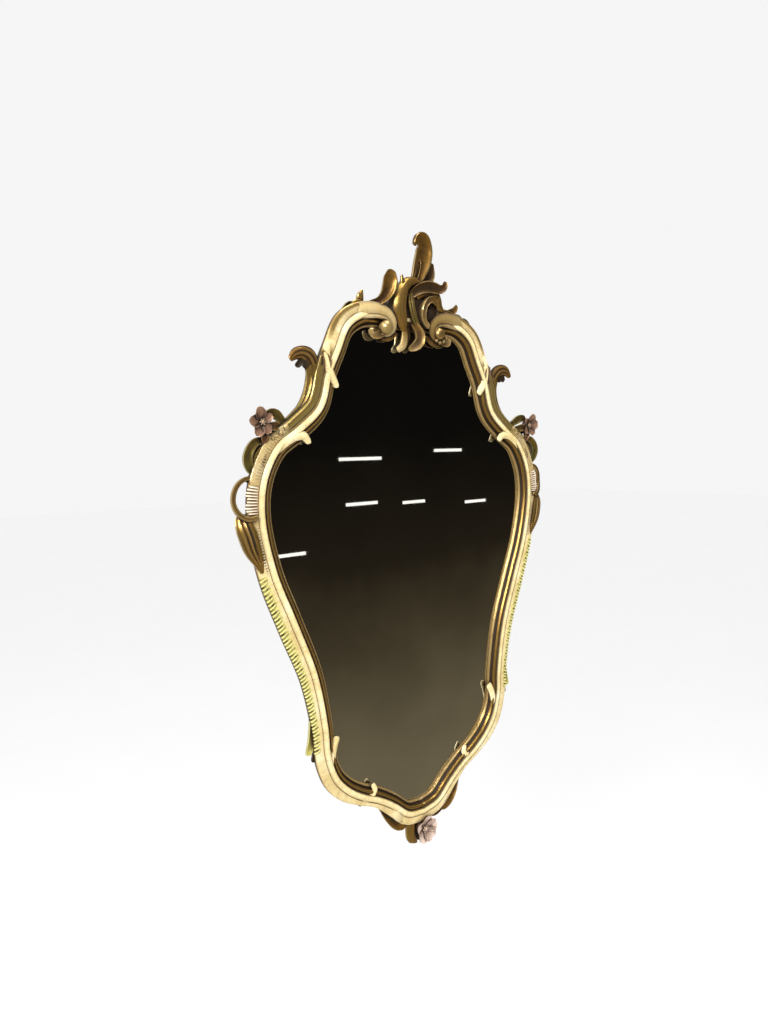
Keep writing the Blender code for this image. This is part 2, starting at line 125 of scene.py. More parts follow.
def between(low, high, value):
    """Nought below low, one above high, and an easy slope in between."""
    share = np.clip((value - low) / (high - low), 0, 1)
    return share * share * (3 - 2 * share)


print("spline ready")

# %% [markdown]
# ## Collecting the carving
# The real frame is one block, so all its carving ends up in one mesh. Each part is a grid of
# points: rings along its length, points round each ring. Next to each point go the numbers that
# the paint needs: how gilded, rosy, green or bare it is, and how far along and across it lies.

# %% Parts of the carving
parts = []
CREAM = (0.0, 0.0, 0.0, 0.0)
GILT = (1.0, 0.0, 0.0, 0.0)
ROSE = (1.0, 1.0, 0.0, 0.0)
OLIVE = (1.0, 0.0, 1.0, 0.0)
LIME = (0.0, 0.0, 1.0, 0.0)
PINK = (0.0, 1.0, 0.0, 0.0)


def mix(one, other, share):
    return tuple(a + (b - a) * share for a, b in zip(one, other))


def add_part(grid, paint, along, across, groove=0.0, loop=False):
    """Keep a grid of points; paint has the four finish numbers at every point, and the number after
    across is painted shade with some grime.
    """
    rings, count = grid.shape[:2]
    run = np.stack(np.broadcast_arrays(along, across, groove), -1)
    parts.append({
        "grid": grid,
        "paint": np.broadcast_to(paint, (rings, count, 4)),
        "run": run * np.ones((rings, count, 1)),
        "loop": loop,
    })


print("finishes: cream, gilt, rose, olive, lime, pink")

# %% [markdown]
# ## The moulding
# The moulding runs round the glass like a swollen picture frame: a small bead beside the glass,
# a hollow in painted shade, a gilt fillet, a fat roll, a fine line, and a flat band with an outer
# wall in painted shade.
# It is one section swept round one path. The section is drawn once, as arcs and short straights,
# and each station only tells it how wide the band is and how high the whole may rise.

# %% Path of the moulding
RAIL = [
    (0, -810, 13, 1), (34, -803, 13, 1), (66, -777, 11, 1), (95, -757, 7, 1),
    (124, -742, 8, 1), (152, -721, 12, 1), (173, -695, 14, 1), (186, -655, 15, 1),
    (189, -612, 15, 1), (203, -533, 17, 1), (232, -453, 19, 1), (261, -376, 17, 1),
    (275, -298, 15, 1), (268, -246, 15, 1), (244, -204, 15, 1), (212, -181, 15, 1),
    (177, -150, 16, 1), (162, -104, 17, 1), (146, -71, 18, 1), (127, -34, 17, 1),
    (98, -15, 14, 0.95), (62, -10, 12, 0.5), (0, -10, 12, 0.45),
]
RAIL_STEP = 3.8
half = even_steps(smooth(RAIL), RAIL_STEP)
left_half = half[1:-1][::-1] * np.array([-1, 1, 1, 1])
rail = np.vstack([half, left_half])
ahead = np.roll(rail, -1, 0)[:, :2] - np.roll(rail, 1, 0)[:, :2]
ahead /= np.linalg.norm(ahead, axis=1)[:, None]
outward = np.stack([ahead[:, 1], -ahead[:, 0]], 1)
rail_run = np.concatenate([[0], np.cumsum(np.linalg.norm(np.diff(rail[:, :2], axis=0), axis=1))])
print("moulding:", len(rail), "stations,", round(rail_run[-1] * SQUARE, 2), "m round")

# %% Section of the moulding
SIGHT = 23.0
LIP = 8.5
UNDERCUT = 15.5
BEAD_CENTRE, BEAD_RADII = (-20.9, 2.4), (2.0, 2.4)
FILLET_CENTRE, FILLET_RADII = (-14.0, 9.3), (2.5, 2.7)
ROLL_CENTRE, ROLL_RADII = (-5.3, 9.5), (5.5, 5.5)
GROOVE_HEIGHT = 12.0
WALL_FOOT = 4.6


def arc(centre, radii, first, last, count):
    """Points on part of an ellipse, by angle in degrees."""
    turns = np.radians(np.linspace(first, last, count))
    return list(zip(centre[0] + radii[0] * np.cos(turns), centre[1] + radii[1] * np.sin(turns)))


def section(band):
    """Rows of distance outward, height above the glass, gilding, painted shade with some grime, and
    share of the band.
    """
    # The fourth number of a row is painted shade: most in the hollows beside the fillet, the fine
    # line and the outer wall.
    rows = [(-SIGHT, 0.3, 1, 0.5, 0)]
    rows += [(o, h, 0.75, 0.12, 0) for o, h in arc(BEAD_CENTRE, BEAD_RADII, 175, 12, 7)]
    rows += [(-18.5, 2.3, 1, 0.8, 0), (-17.7, 4.0, 1, 0.75, 0), (-17.0, 6.0, 1, 0.7, 0)]
    rows += [(o, h, 1, 0.0, 0) for o, h in arc(FILLET_CENTRE, FILLET_RADII, 190, 28, 8)]
    rows += [(-11.5, 9.4, 1, 0.9, 0)]
    for o, h in arc(ROLL_CENTRE, ROLL_RADII, 168, 32, 12):
        inner = between(-8.2, -10.2, o)
        rows.append((o, h, 0.8 * inner, 0.5 * inner, 0))
    rows += [(-0.25, GROOVE_HEIGHT + 0.1, 0, 0.2, 0), (0.05, GROOVE_HEIGHT - 0.9, 0.1, 1, 0)]
    rows += [(0.4, GROOVE_HEIGHT + 0.3, 0, 0.2, 0)]
    for share in (0.08, 0.2, 0.35, 0.5, 0.65, 0.78, 0.89):
        height = GROOVE_HEIGHT + 0.5 + 0.7 * math.sin(math.pi * share) - 1.1 * share ** 2
        rows.append((band * share, height, 0.1, 0, share))
    rows += [(band * 0.96, GROOVE_HEIGHT - 1.0, 0.3, 0, 0.96)]
    rows += [(band, GROOVE_HEIGHT - 2.0, 0.8, 0.3, 1)]
    rows += [(band, 7.0, 1, 0.65, 0), (band * 0.985, WALL_FOOT, 1, 0.7, 0)]
    return np.array(rows)


sections = np.stack([section(band) for band in rail[:, 2]])
print("section has", sections.shape[1], "points on its face")

# %% Finish along the moulding
CREST_ZONE = (-74, -46)
TOP_ZONE = (-60, -24)
LEAFY_ZONE = ((-66, -84), (-202, -184))
WARM_ZONE = ((-184, -198), (-384, -340))
LIMY_ZONE = ((-366, -392), (-655, -600))
BAND_FLUTES = 2.5


def zone(upper, lower):
    """One for the stations between two heights, fading out at both."""
    up = rail[:, 1]
    return (between(*upper, up) * between(*lower, up))[:, None]


def band_finish(share):
    """Gilding and green of the band, by its share of the width."""
    up = rail[:, 1:2]
    leafy = zone(*LEAFY_ZONE)
    gilt = np.maximum(between(*TOP_ZONE, up) * 0.4, leafy)
    gilt = np.maximum(gilt, zone(*WARM_ZONE) * 0.45) * (share > 0.03) * 0.9
    gilt = np.maximum(gilt, between(*CREST_ZONE, up) * between(0.42, 0.6, share) * 0.85)
    green = zone(*LIMY_ZONE) * between(0.12, 0.75, share) * 0.8
    return gilt, green + leafy * (share > 0) * 0.35


print(int((zone(*LEAFY_ZONE) > 0.5).sum()), "stations carry leaves")

# %% Sweep the moulding
def sweep_moulding():
    share = sections[..., 4]
    on_band = share > 0
    flutes = np.cos(math.tau * BAND_FLUTES * share) * zone(*LEAFY_ZONE)
    height = (sections[..., 1] + 0.8 * on_band * flutes) * rail[:, 3:4] + GLASS_LIFT
    edge = rail[:, 2:3]
    flat = edge * 0
    inner = flat - SIGHT + LIP
    off = np.concatenate([sections[..., 0], edge * 0.97, edge - UNDERCUT * 0.5, edge - UNDERCUT,
                          inner, inner], 1)
    low = height[:, -1:]
    height = np.concatenate([height, low - 0.6, (low + BACK_LIFT) / 2, flat + BACK_LIFT,
                             flat + BACK_LIFT, flat + GLASS_LIFT + 0.3], 1)
    place = rail[:, None, :2] + outward[:, None] * off[..., None]
    grid = to_frame(np.concatenate([place, height[..., None]], -1))
    front = sections.shape[1]
    gilt, green = band_finish(share)
    paint = np.zeros(off.shape + (4,))
    paint[:, :front, 0] = np.maximum(sections[..., 2], gilt)
    paint[:, :front, 2] = green
    paint[:, front:, 3] = 1
    # Painted shade: the section's amounts, and more in the troughs of the band's flutes.
    groove = np.zeros(off.shape)
    groove[:, :front] = sections[..., 3] + 0.5 * on_band * np.clip(-flutes, 0, 1)
    add_part(grid, paint, rail_run[:, None], off, groove, loop=True)


sweep_moulding()
print("moulding has", parts[0]["grid"].shape[1], "points round")

# %% [markdown]
# ## Leaves and scrolls
# A carved leaf is a ribbon with a hollow or fluted face, a rounded back, a raised rim and a
# round tip that curls forward. The function below takes its spine as rows of across, up, lift,
# half width and thickness, and carries the face along the curve without twisting it.

# %% A leaf along a spine
LEAF_STEP = 2.6
FRONT = 17
BACK = 5
TIP_TURNS = np.radians([34, 62, 84])
RIM_PLACE, RIM_WIDTH = 0.84, 0.11
LEAST_GAP = 0.15
FORWARD = np.array([0.0, -1.0, 0.0])


def unit(v):
    return v / np.maximum(np.linalg.norm(v, axis=-1, keepdims=True), 1e-9)


def round_ends(spine, width, thick):
    """Add shrinking rings at both ends, so that the leaf has no cut faces."""
    for _ in range(2):
        spine, width, thick = spine[::-1], width[::-1], thick[::-1]
        out = unit(spine[-1] - spine[-2])
        reach = min(width[-1], 5) * 0.8
        spine = np.vstack([spine, spine[-1] + np.outer(np.sin(TIP_TURNS), out) * reach])
        width = np.concatenate([width, width[-1] * np.cos(TIP_TURNS)])
        thick = np.concatenate([thick, thick[-1] * np.cos(TIP_TURNS)])
    return spine, width, thick


def carry_face(spine):
    """Directions along, across and out of the leaf's face at every ring."""
    along = unit(np.gradient(spine, axis=0))
    face = FORWARD
    faces = []
    for direction in along:
        face = unit(face - direction * np.dot(face, direction))
        faces.append(face)
    faces = np.array(faces)
    return along, np.cross(along, faces), faces


def run_along(line):
    """Distance from the start at every point of a line."""
    return np.concatenate([[0], np.cumsum(np.linalg.norm(np.diff(line, axis=0), axis=1))])


def unfold(points):
    """From across, forward and up with forward negative to across, up and lift."""
    return np.stack([points[..., 0], points[..., 2], -points[..., 1]], -1)


print("tips have", len(TIP_TURNS), "rings")

# %% Leaf
def leaf(rows, side=1, cup=-0.2, flutes=0, flute=0.1, rim=0.0, root=GILT, tip=GILT,
         profile=None, groove=0.0):
    """A carved leaf. Its face is dished by cup, fluted, rimmed, or follows a profile."""
    line = even_steps(smooth([(x * side, z, lift, w, t) for x, z, lift, w, t in rows]),
                      LEAF_STEP, 3)
    spine = np.stack([line[:, 0], -line[:, 2], line[:, 1]], 1)
    spine, width, thick = round_ends(spine, line[:, 3], line[:, 4])
    along, across, face = carry_face(spine)
    share = np.linspace(-1, 1, FRONT)[None]
    run = run_along(spine)
    length = run / run[-1]
    swell = np.sqrt(np.clip(np.sin(np.pi * length), 0, 1))[:, None]
    height = cup * share ** 2 * np.ones_like(swell)
    height += rim * np.exp(-((np.abs(share) - RIM_PLACE) / RIM_WIDTH) ** 2) * swell
    # Painted shade, with some grime: a set amount for the leaf, more in the middle of a dished
    # face, in flute bottoms and in profile lines.
    shade_and_grime = np.zeros_like(height) + groove
    if cup > 0:
        shade_and_grime += 0.45 * (1 - share ** 2) * swell
    if flutes:
        wave = np.cos(np.pi * flutes * share)
        height += flute * wave * (1 - share ** 4) * swell
        shade_and_grime += np.clip(-wave, 0, 1) * 0.6 * swell
    if profile:
        added, dark = profile(share * -side)
        height += added * swell
        shade_and_grime += dark * swell
    back = np.linspace(0.93, -0.93, BACK)[None]
    wide = width[:, None]
    deep = wide * cup * back ** 2 - thick[:, None] * np.sqrt(1 - 0.9 * back ** 2)
    shares = np.concatenate([share * np.ones_like(wide), back * np.ones_like(wide)], 1)
    heights = np.concatenate([wide * height, deep], 1)
    points = (spine[:, None] + across[:, None] * (shares * wide)[..., None]
              + face[:, None] * heights[..., None])
    for i in range(1, len(points)):
        short = LEAST_GAP - (points[i] - points[i - 1]) @ along[i]
        points[i] += along[i] * np.maximum(short, 0)[:, None]
    root, tip = np.array(root), np.array(tip)
    paint = (root + (tip - root) * (length ** 1.3)[:, None])[:, None]
    # The back of every leaf gets painted shade.
    dark = np.concatenate([shade_and_grime, np.full((len(spine), BACK), 0.6)], 1)
    add_part(to_frame(unfold(points)), paint, run[:, None], shares * wide, dark)


def both_sides(rows, **style):
    for side in (1, -1):
        leaf(rows, side=side, **style)


print("leaves have", FRONT + BACK, "points round")

# %% [markdown]
# ## Balls, bars and teeth
# Scroll eyes and buds are balls. The open ring at each side is a bar bent into a loop. The rows
# of small teeth along the band were cut with one gouge, stroke after stroke, so one function
# sets them out at an even pitch.

# %% Balls, bars and teeth
BALL_TURNS = 14
BALL_RINGS = 10
BAR_TURNS = 16
BAR_STEP = 1.8
TOOTH_TURNS = 6
TOOTH_PLACES = 0.5
TOOTH_FOOT = 0.6


# A ball's last number is painted shade, with some grime, over the whole ball.
def ball(across, up, lift, radius, side=1, flat=1.0, paint=GILT, groove=0.0):
    polar = np.radians(np.linspace(2, 178, BALL_RINGS))[:, None]
    turn = np.radians(np.linspace(0, 360, BALL_TURNS, endpoint=False))[None]
    grid = np.stack([
        across * side + radius * np.sin(polar) * np.cos(turn),
        up + radius * np.sin(polar) * np.sin(turn),
        lift + radius * flat * np.cos(polar) * np.ones_like(turn),
    ], -1)
    add_part(to_frame(grid), paint, polar * radius, turn * radius, groove)


def tube(rows, side, turns, ridge, paint, dark):
    """A round bar along rows of across, up, lift and half thickness."""
    line = np.array(rows) * np.array([side, 1, 1, 1])
    spine = np.stack([line[:, 0], -line[:, 2], line[:, 1]], 1)
    spine, radius, _ = round_ends(spine, line[:, 3], line[:, 3])
    along, across, face = carry_face(spine)
    turn = np.radians(np.linspace(0, 360, turns, endpoint=False))[None]
    reach = radius[:, None] * (1 + ridge * np.cos(turn * 4 - math.pi) * (np.sin(turn) > -0.2))
    points = (spine[:, None] + across[:, None] * (reach * np.cos(turn))[..., None]
              + face[:, None] * (reach * np.sin(turn))[..., None])
    add_part(to_frame(unfold(points)), paint, run_along(spine)[:, None], turn * radius[:, None],
             dark(turn))


def bar(rows, side=1, ridge=0.16):
    # Painted shade in four lines round the bar, between its ribs.
    tube(even_steps(smooth(rows), BAR_STEP, 3), side, BAR_TURNS, ridge, GILT,
         lambda turn: np.clip(np.cos(turn * 4), 0, 1) * 0.7)


def tooth(rows, side, paint):
    # Painted shade on both flanks of each tooth.
    tube(rows, side, TOOTH_TURNS, 0, paint,
         lambda turn: np.clip(np.abs(np.cos(turn)) - 0.5, 0, 1) * 2.4)


print("balls and bars ready")

# %% Teeth
def teeth(low, high, pitch, inner, outer, height, lean, wide, paint, wave=0.0):
    """Short strokes across the band between two heights, on both sides."""
    right = even_steps(smooth(RAIL), TOOTH_PLACES)
    heading = unit(np.gradient(right[:, :2], axis=0))
    away = np.stack([heading[:, 1], -heading[:, 0]], 1)
    inside = np.flatnonzero((right[:, 1] > low) & (right[:, 1] < high) & (right[:, 0] > 150))
    count = int(len(inside) * TOOTH_PLACES / pitch)
    for n in range(count):
        i = inside[0] + int(n * pitch / TOOTH_PLACES)
        reach = outer - wave * (1 - abs(math.sin(math.tau * n / max(count - 1, 1))))
        rows = []
        for share in (0, 0.33, 0.67, 1):
            off = (inner + (reach - inner) * share) * right[i, 2]
            spot = right[i, :2] + away[i] * off + heading[i] * lean * share
            rise = height * math.sin(math.pi * (0.15 + 0.7 * share)) - share
            lift = GLASS_LIFT + GROOVE_HEIGHT - TOOTH_FOOT + rise
            rows.append((spot[0], spot[1], lift, wide * (0.75 + 0.4 * share)))
        for side in (1, -1):
            tooth(rows, side, paint)
    return count


print("teeth start every", TOOTH_PLACES, "squares at the closest")

# %% [markdown]
# ## Tips over the glass
# Where one scroll ends and the next begins, a blunt tip hooks inward over the glass. Hands and
# cloths have rubbed the tips most, so they are the palest spots of the frame.

# %% Inner tips
both_sides([(147, -52, 17, 6, 8), (157.5, -70, 19.5, 6.8, 9), (160, -86, 20.5, 7, 9),
            (156, -102, 21, 6.8, 9), (150, -114, 20, 6.4, 8), (145, -122, 18.5, 5.4, 6)],
           cup=-0.5, root=CREAM, tip=CREAM)
both_sides([(241, -213, 17.5, 5, 7), (227, -200, 20, 6.4, 8), (213, -193, 20.5, 6.8, 9),
            (201, -193, 20, 6.2, 8), (193.5, -200, 18, 5, 6)], cup=-0.5, root=CREAM, tip=CREAM)
both_sides([(174, -680, 15, 5, 7), (173, -662, 17.5, 6.4, 8), (169, -646, 17.5, 6.4, 7),
            (163, -634, 16, 6, 5)], cup=-0.45, root=CREAM, tip=CREAM)
both_sides([(134, -741, 15, 5, 7), (118, -744, 18, 6.4, 8), (104, -743, 18.5, 6.2, 7),
            (96.5, -735, 17.5, 5.2, 6), (99, -727, 16, 4, 4)], cup=-0.5, root=CREAM, tip=CREAM)
print(len(parts), "parts so far")

# %% [markdown]
# ## The volutes
# At the top both ends of the moulding roll up into volutes, each round a gold ball. The band
# narrows to a rim, the roll runs inside it and ends at the ball.

# %% Volutes
def volute_profile(share):
    """Rim at the outside, then a fine line, then the roll; share is 1 at the outside. The fine line
    and the inner edge get painted shade, and it is darker towards the outside.
    """
    rim = 0.14 * np.exp(-((share - 0.8) / 0.15) ** 2)
    line = -0.18 * np.exp(-((share - 0.46) / 0.06) ** 2)
    roll = 0.14 * np.exp(-((share + 0.1) / 0.4) ** 2)
    # Painted shade in the fine line and at the inner edge; the colour is also darker towards the
    # outside.
    dark = np.exp(-((share - 0.46) / 0.05) ** 2) + 0.7 * np.exp(-((share + 0.95) / 0.2) ** 2)
    outer_darkening = 0.3 * between(0.5, 1.0, share)
    return rim + line + roll, dark + outer_darkening


VOLUTE = [(114, -23, 15, 10, 9), (98, -14, 18, 12, 11), (81, -11, 19.5, 12, 12),
          (65, -11, 20, 11, 12), (50, -15.5, 20, 9.5, 12), (41, -25, 19.5, 7.5, 11),
          (41, -36, 18, 5.2, 9), (49, -43, 16, 3.6, 7), (60, -44, 14, 2.2, 5)]
leaf(VOLUTE, side=-1, cup=-0.15, profile=volute_profile, root=mix(CREAM, GILT, 0.25),
     tip=mix(CREAM, GILT, 0.6))
leaf(VOLUTE, side=1, cup=-0.15, profile=volute_profile, root=mix(CREAM, GILT, 0.6), tip=GILT)
both_sides([(58, -41, 14, 5.5, 7), (68, -46, 14, 5.5, 6), (76, -46, 14, 4.6, 5),
            (80, -40, 13, 3.4, 4)], cup=0.25, rim=0.12, root=GILT, tip=mix(GILT, CREAM, 0.4))
both_sides([(32, -40, 13, 4, 6), (44, -47, 14, 5, 6), (56, -49, 13, 4, 5)], cup=-0.4, groove=0.4)
ball(53.6, -33.4, 17, 10.5, side=-1, paint=mix(GILT, CREAM, 0.2))
ball(53.6, -33.4, 16, 10, side=1, paint=GILT)
for across, up, radius in ((62, -44, 3.6), (55, -46.5, 3.2), (68, -39, 3.2), (48, -44, 3)):
    ball(across, up, 17, radius, paint=mix(GILT, CREAM, 0.2), groove=0.2)
print(len(parts), "parts so far")

# %% [markdown]
# ## The crest
# The crest is the show piece. A fluted trunk stands left of the middle and hooks over to the
# right; a tall dished leaf rises behind it and curls forward at its tip; a spoon-shaped leaf
# answers on the left and a clawed one on the right, over an open scroll. A block of wood behind
# the leaves holds them together.

# %% Trunk and rib
def fibre_profile(share):
    """Fine gouge lines in painted shade on one side of the trunk, and a smooth belly on the other.
    """
    lines = np.zeros_like(share)
    for place in (-0.75, -0.45, -0.15, 0.2):
        lines = lines + np.exp(-((share - place) / 0.05) ** 2)
    return -0.07 * lines, 0.75 * lines


leaf([(-15, -33, 17, 6, 7), (-20, -20, 22, 11, 14), (-26, -4, 26, 13, 17),
      (-25, 11, 27, 12.5, 16), (-20, 25, 26, 11, 14), (-12.5, 35.5, 23.5, 9, 11),
      (-2, 41, 22, 6.5, 8), (9, 42, 21, 4.4, 6), (15, 40, 20, 3, 4)],
     cup=-0.65, profile=fibre_profile)
leaf([(-19, 22, 21, 6, 9), (-22, 35, 23, 4, 8), (-23, 45, 22, 1.6, 5)], cup=-0.5)
leaf([(-46, -8, 16, 7, 8), (-39, 9, 17, 7, 8), (-34, 25, 17, 5, 6), (-32, 35, 16, 2, 4)],
     cup=0.3, groove=0.7)
leaf([(24, -44, 13, 4, 6), (14, -30, 16, 5.6, 9), (4, -12, 18, 6.2, 10), (-1, 6, 18, 6.6, 11),
      (0, 22, 16, 6, 10), (5, 34, 13, 4, 8)], cup=-0.3, flutes=3, flute=0.12,
     root=mix(GILT, OLIVE, 0.5), tip=mix(GILT, OLIVE, 0.35))
print(len(parts), "parts so far")

# %% Spoon leaf, claw, open scroll and finial
leaf([(-92, -6, 13, 3.5, 8), (-78, -1, 15, 4.6, 9), (-65, 4, 17, 6, 8), (-56, 13, 19, 9, 8),
      (-51, 26, 21, 12, 7), (-49.5, 37, 23, 12, 6), (-49, 45, 26, 8.5, 4)],
     cup=0.55, rim=0.16)
leaf([(0, 22, 15, 6, 9), (14, 31, 17, 8, 8), (28, 35, 18, 9, 7), (42, 35, 19, 8.6, 6),
      (53, 34, 21, 7, 5), (60, 38, 23, 5.4, 4), (62, 44, 24, 4, 3)], cup=0.45, rim=0.2,
     groove=0.25)
leaf([(12, 20, 17, 4, 7), (24, 25, 19, 4.6, 7), (37, 27, 20, 4.4, 6), (47, 25, 20, 3.4, 4)],
     cup=-0.4)
leaf([(40, 34, 16, 5, 7), (50, 28, 18, 6.4, 7), (54, 18, 19, 6.4, 7), (57, 9, 18, 6, 7),
      (64, 2, 16, 5.4, 7), (74, -1, 13, 4, 6)], cup=-0.45)
leaf([(22, 26, 14, 5, 8), (32, 24, 15, 6, 7), (41, 20, 16, 5, 6)], cup=0.3, groove=0.6)
leaf([(49, 13, 17, 4.5, 8), (39, 17.5, 20, 5, 9), (28, 14, 22, 5, 10), (20, 5, 23, 5, 11),
      (17.5, -7, 22, 5, 11), (21, -17, 20, 4.6, 10), (30, -24, 18, 4, 8)],
     cup=0.3, rim=0.22, tip=mix(GILT, CREAM, 0.3))
ball(38, -4, 12, 11, flat=0.6, paint=GILT, groove=0.9)
leaf([(40, 27, 9, 4, 6), (46, 16, 10, 8, 6), (49, 4, 10, 9, 6), (48, -8, 10, 7, 6)],
     cup=0.4, groove=0.9)
leaf([(6, 34, 13, 6, 10), (12, 50, 14, 11, 10), (17, 64, 14, 14.5, 9), (23, 79, 13, 16.5, 8),
      (25.5, 91.5, 13, 16, 7), (22, 101.5, 16, 13.5, 6), (12, 105.4, 21, 10.5, 5),
      (3, 101.8, 25, 8.5, 5), (-1, 95, 26, 6, 4)], cup=0.36, rim=0.1)
bar([(3, 42, 17, 1.1), (8, 57, 15.5, 1.2), (14, 72, 14.2, 1.2), (19, 76, 14, 1.2),
     (20.5, 70, 14.2, 1.2), (17, 58, 15.2, 1.2), (12, 47, 16.5, 1.2)], ridge=0)
leaf([(20, 38, 9, 6, 9), (34, 46, 10, 9, 8), (43, 59, 9, 9, 7), (48, 74, 8, 4.5, 5)],
     cup=0.35, rim=0.2, groove=0.25)
print(len(parts), "parts so far")

# %% Leaves that hang under the crest
leaf([(3, -24, 15, 6, 8), (9, -36, 18, 8.4, 8), (10, -47, 18, 9, 7), (3, -56, 16, 7.4, 6),
      (-4, -60, 14, 4.4, 4)], cup=0.5, rim=0.18, tip=mix(GILT, CREAM, 0.25))
leaf([(-13, -32, 15, 5, 7), (-15, -46, 17, 6, 8), (-18, -57, 16, 6, 6), (-26, -63, 14, 4.6, 5)],
     cup=-0.45, root=GILT, tip=mix(GILT, CREAM, 0.7))
leaf([(-6, -30, 13, 4, 6), (-4, -42, 13, 4, 6), (-6, -50, 12, 3, 5)], cup=-0.4, groove=0.5)
print(len(parts), "parts so far")

# %% Crest block and shoulders of the crest
BLOCK = [(-66, -14), (-58, 0), (-42, 11), (-28, 26), (-18, 39), (6, 46), (26, 43), (36, 30),
         (48, 16), (58, 2), (66, -14)]


def crest_block():
    outline = even_steps(smooth(BLOCK + [BLOCK[0]]), 3.0)[:-1]
    rings = [np.column_stack([outline * share, np.full(len(outline), lift)])
             for share, lift in ((0.02, BACK_LIFT), (0.97, BACK_LIFT), (1, BACK_LIFT + 1),
                                 (0.96, 6), (0.9, 11.5), (0.82, 12.6), (0.5, 13), (0.02, 13))]
    bare = np.array([1, 1, 1, 0.3, 0, 0, 0, 0])[:, None]
    paint = np.stack([1 - bare, bare * 0, bare * 0, bare], -1) * np.ones((1, len(outline), 1))
    # The whole block gets painted shade, as it sits behind the leaves.
    add_part(to_frame(np.stack(rings)), paint, 0, 0, 0.9)


crest_block()
both_sides([(104, -8, 9, 5, 8), (115, -8, 11, 6, 7), (125, -18, 11, 5.5, 6),
            (133, -31, 9, 2.5, 4)], cup=0.35, rim=0.14, root=GILT, tip=mix(GILT, OLIVE, 0.4))
both_sides([(88, -2, 12, 4, 7), (101, -2, 14, 5, 7), (113, -10, 14, 4, 5)], cup=-0.4,
           root=GILT, tip=mix(GILT, OLIVE, 0.3))
leaf([(-90, -6, 9, 5, 8), (-93, 3, 12, 6, 8), (-92.5, 10, 13, 5.4, 7), (-91, 15, 12, 3, 4)],
     cup=-0.5)
leaf([(72, 0, 10, 4, 7), (82, 4, 13, 5, 7), (91, 8, 14, 5, 6), (97, 15, 13, 3.2, 4)], cup=0.25,
     rim=0.12)
leaf([(56, -6, 15, 6, 7), (70, 0, 16, 7, 8), (86, -2, 16, 6, 7), (98, -9, 14, 4, 5)], cup=-0.4,
     flutes=2, flute=0.08)
print(len(parts), "parts so far")

# %% [markdown]
# ## Shoulders, flowers and rings
# Down each side come a fluted leaf that hooks outward, a flower with buds, a hollow leaf, an
# open ring with a ribbed shell inside it, and a long leaf. The flowers are tinted copper-rose.

# %% Shoulder leaves
both_sides([(236, -184, 12, 4, 8), (218, -172, 13, 7, 10), (198, -157, 13.5, 10, 11),
            (184, -136, 14.5, 12.5, 11), (179.5, -114, 16, 12.5, 10), (182, -99, 18, 11, 8)],
           cup=-0.25, flutes=5, flute=0.08, root=mix(GILT, OLIVE, 0.5), tip=GILT)
both_sides([(179, -112, 14, 10, 8), (182, -97, 18.5, 12, 8), (190, -86, 21.5, 11.5, 8),
            (201, -82.5, 22, 9.5, 7), (211, -85, 21.5, 8, 6), (217, -90, 20.5, 5, 4)],
           cup=-0.45, flutes=3, flute=0.06, root=GILT, tip=GILT, groove=0.3)
both_sides([(206, -98, 15, 4, 6), (199, -92, 17, 5, 6), (194, -99, 16, 4, 5)], cup=0.4,
           groove=0.8)
both_sides([(166, -116, 15, 3, 6), (162, -100, 18, 5.4, 7), (162, -88, 19, 6, 6),
            (166, -79, 18, 3.4, 4)], cup=0.45, rim=0.16, root=mix(GILT, ROSE, 0.35),
           tip=mix(GILT, ROSE, 0.3), groove=0.2)
print(len(parts), "parts so far")

# %% Flowers
def flower(across, up, lift, petals, side, root, tip, button, size=1.0):
    """Petals by angle, length, half width and rise round a button."""
    for angle, long, wide, rise in petals:
        turn = math.radians(angle if side < 0 else 180 - angle)
        rows = []
        for far, share, climb in ((0.1, 0.35, -0.1), (0.4, 0.85, 0.2), (0.72, 1.05, 0.7),
                                  (0.95, 0.8, 1.1)):
            rows.append((
                across * side + math.cos(turn) * long * far * size,
                up + math.sin(turn) * long * far * size,
                lift + climb * rise * long * size,
                share * wide * size,
                2.6,
            ))
        leaf(rows, cup=0.4, rim=0.1, flutes=1, flute=0.05, root=root, tip=tip)
    ball(across, up, lift + 2, 3.0 * size, side=side, flat=0.8, paint=button, groove=0.2)
    for k in range(6):
        turn = math.tau * k / 6
        ball(across * side + math.cos(turn) * 3.6 * size, up + math.sin(turn) * 3.6 * size,
             lift + 2.6, 1.1 * size, paint=button)
    ball(across, up, lift - 6, 9 * size, side=side, flat=0.7, paint=root, groove=0.4)


PETALS = [(110, 17.5, 8.0, 0.3), (176, 17, 8.6, 0.2), (243, 17.5, 7.6, 0.12),
          (304, 15, 7.0, 0.05), (36, 13, 6.4, 0.2)]
DUSKY = mix((0.7, 0.7, 0.0, 0.0), ROSE, 0.4)
for side in (1, -1):
    flower(266, -175, 21, PETALS, side, DUSKY, DUSKY, mix(ROSE, CREAM, 0.4))
both_sides([(236, -198, 7, 8, 10), (252, -187, 11, 9, 10), (266, -178, 14, 7, 9)], cup=-0.2)
both_sides([(232, -172, 13, 5, 8), (243, -165, 16, 7, 8), (252, -163, 18, 6, 7),
            (259, -166, 18, 3.4, 4)], cup=0.35, rim=0.14, root=mix(GILT, OLIVE, 0.6),
           tip=mix(GILT, OLIVE, 0.3))
both_sides([(238, -181, 15, 4, 7), (246, -180, 19, 6.4, 7), (254, -180, 20, 4.6, 5)], cup=0.5,
           rim=0.24, root=mix(GILT, OLIVE, 0.3), tip=mix(GILT, ROSE, 0.3))
both_sides([(262, -184, 17, 4, 6), (263, -193, 19, 5.4, 6), (262, -201, 17, 3.4, 4)], cup=0.5,
           rim=0.24, root=mix(GILT, ROSE, 0.6), tip=mix(GILT, ROSE, 0.6))
BEADS = ((229, -181, 4.6), (237, -189, 3.6), (243, -193, 3.4), (249, -196, 3.2), (255, -195, 3.2),
         (233, -185, 2.8), (240, -197, 2.8))
for across, up, radius in BEADS:
    for side in (1, -1):
        ball(across, up, 16.5, radius, side=side, paint=mix(GILT, CREAM, 0.35), groove=0.1)
print(len(parts), "parts so far")

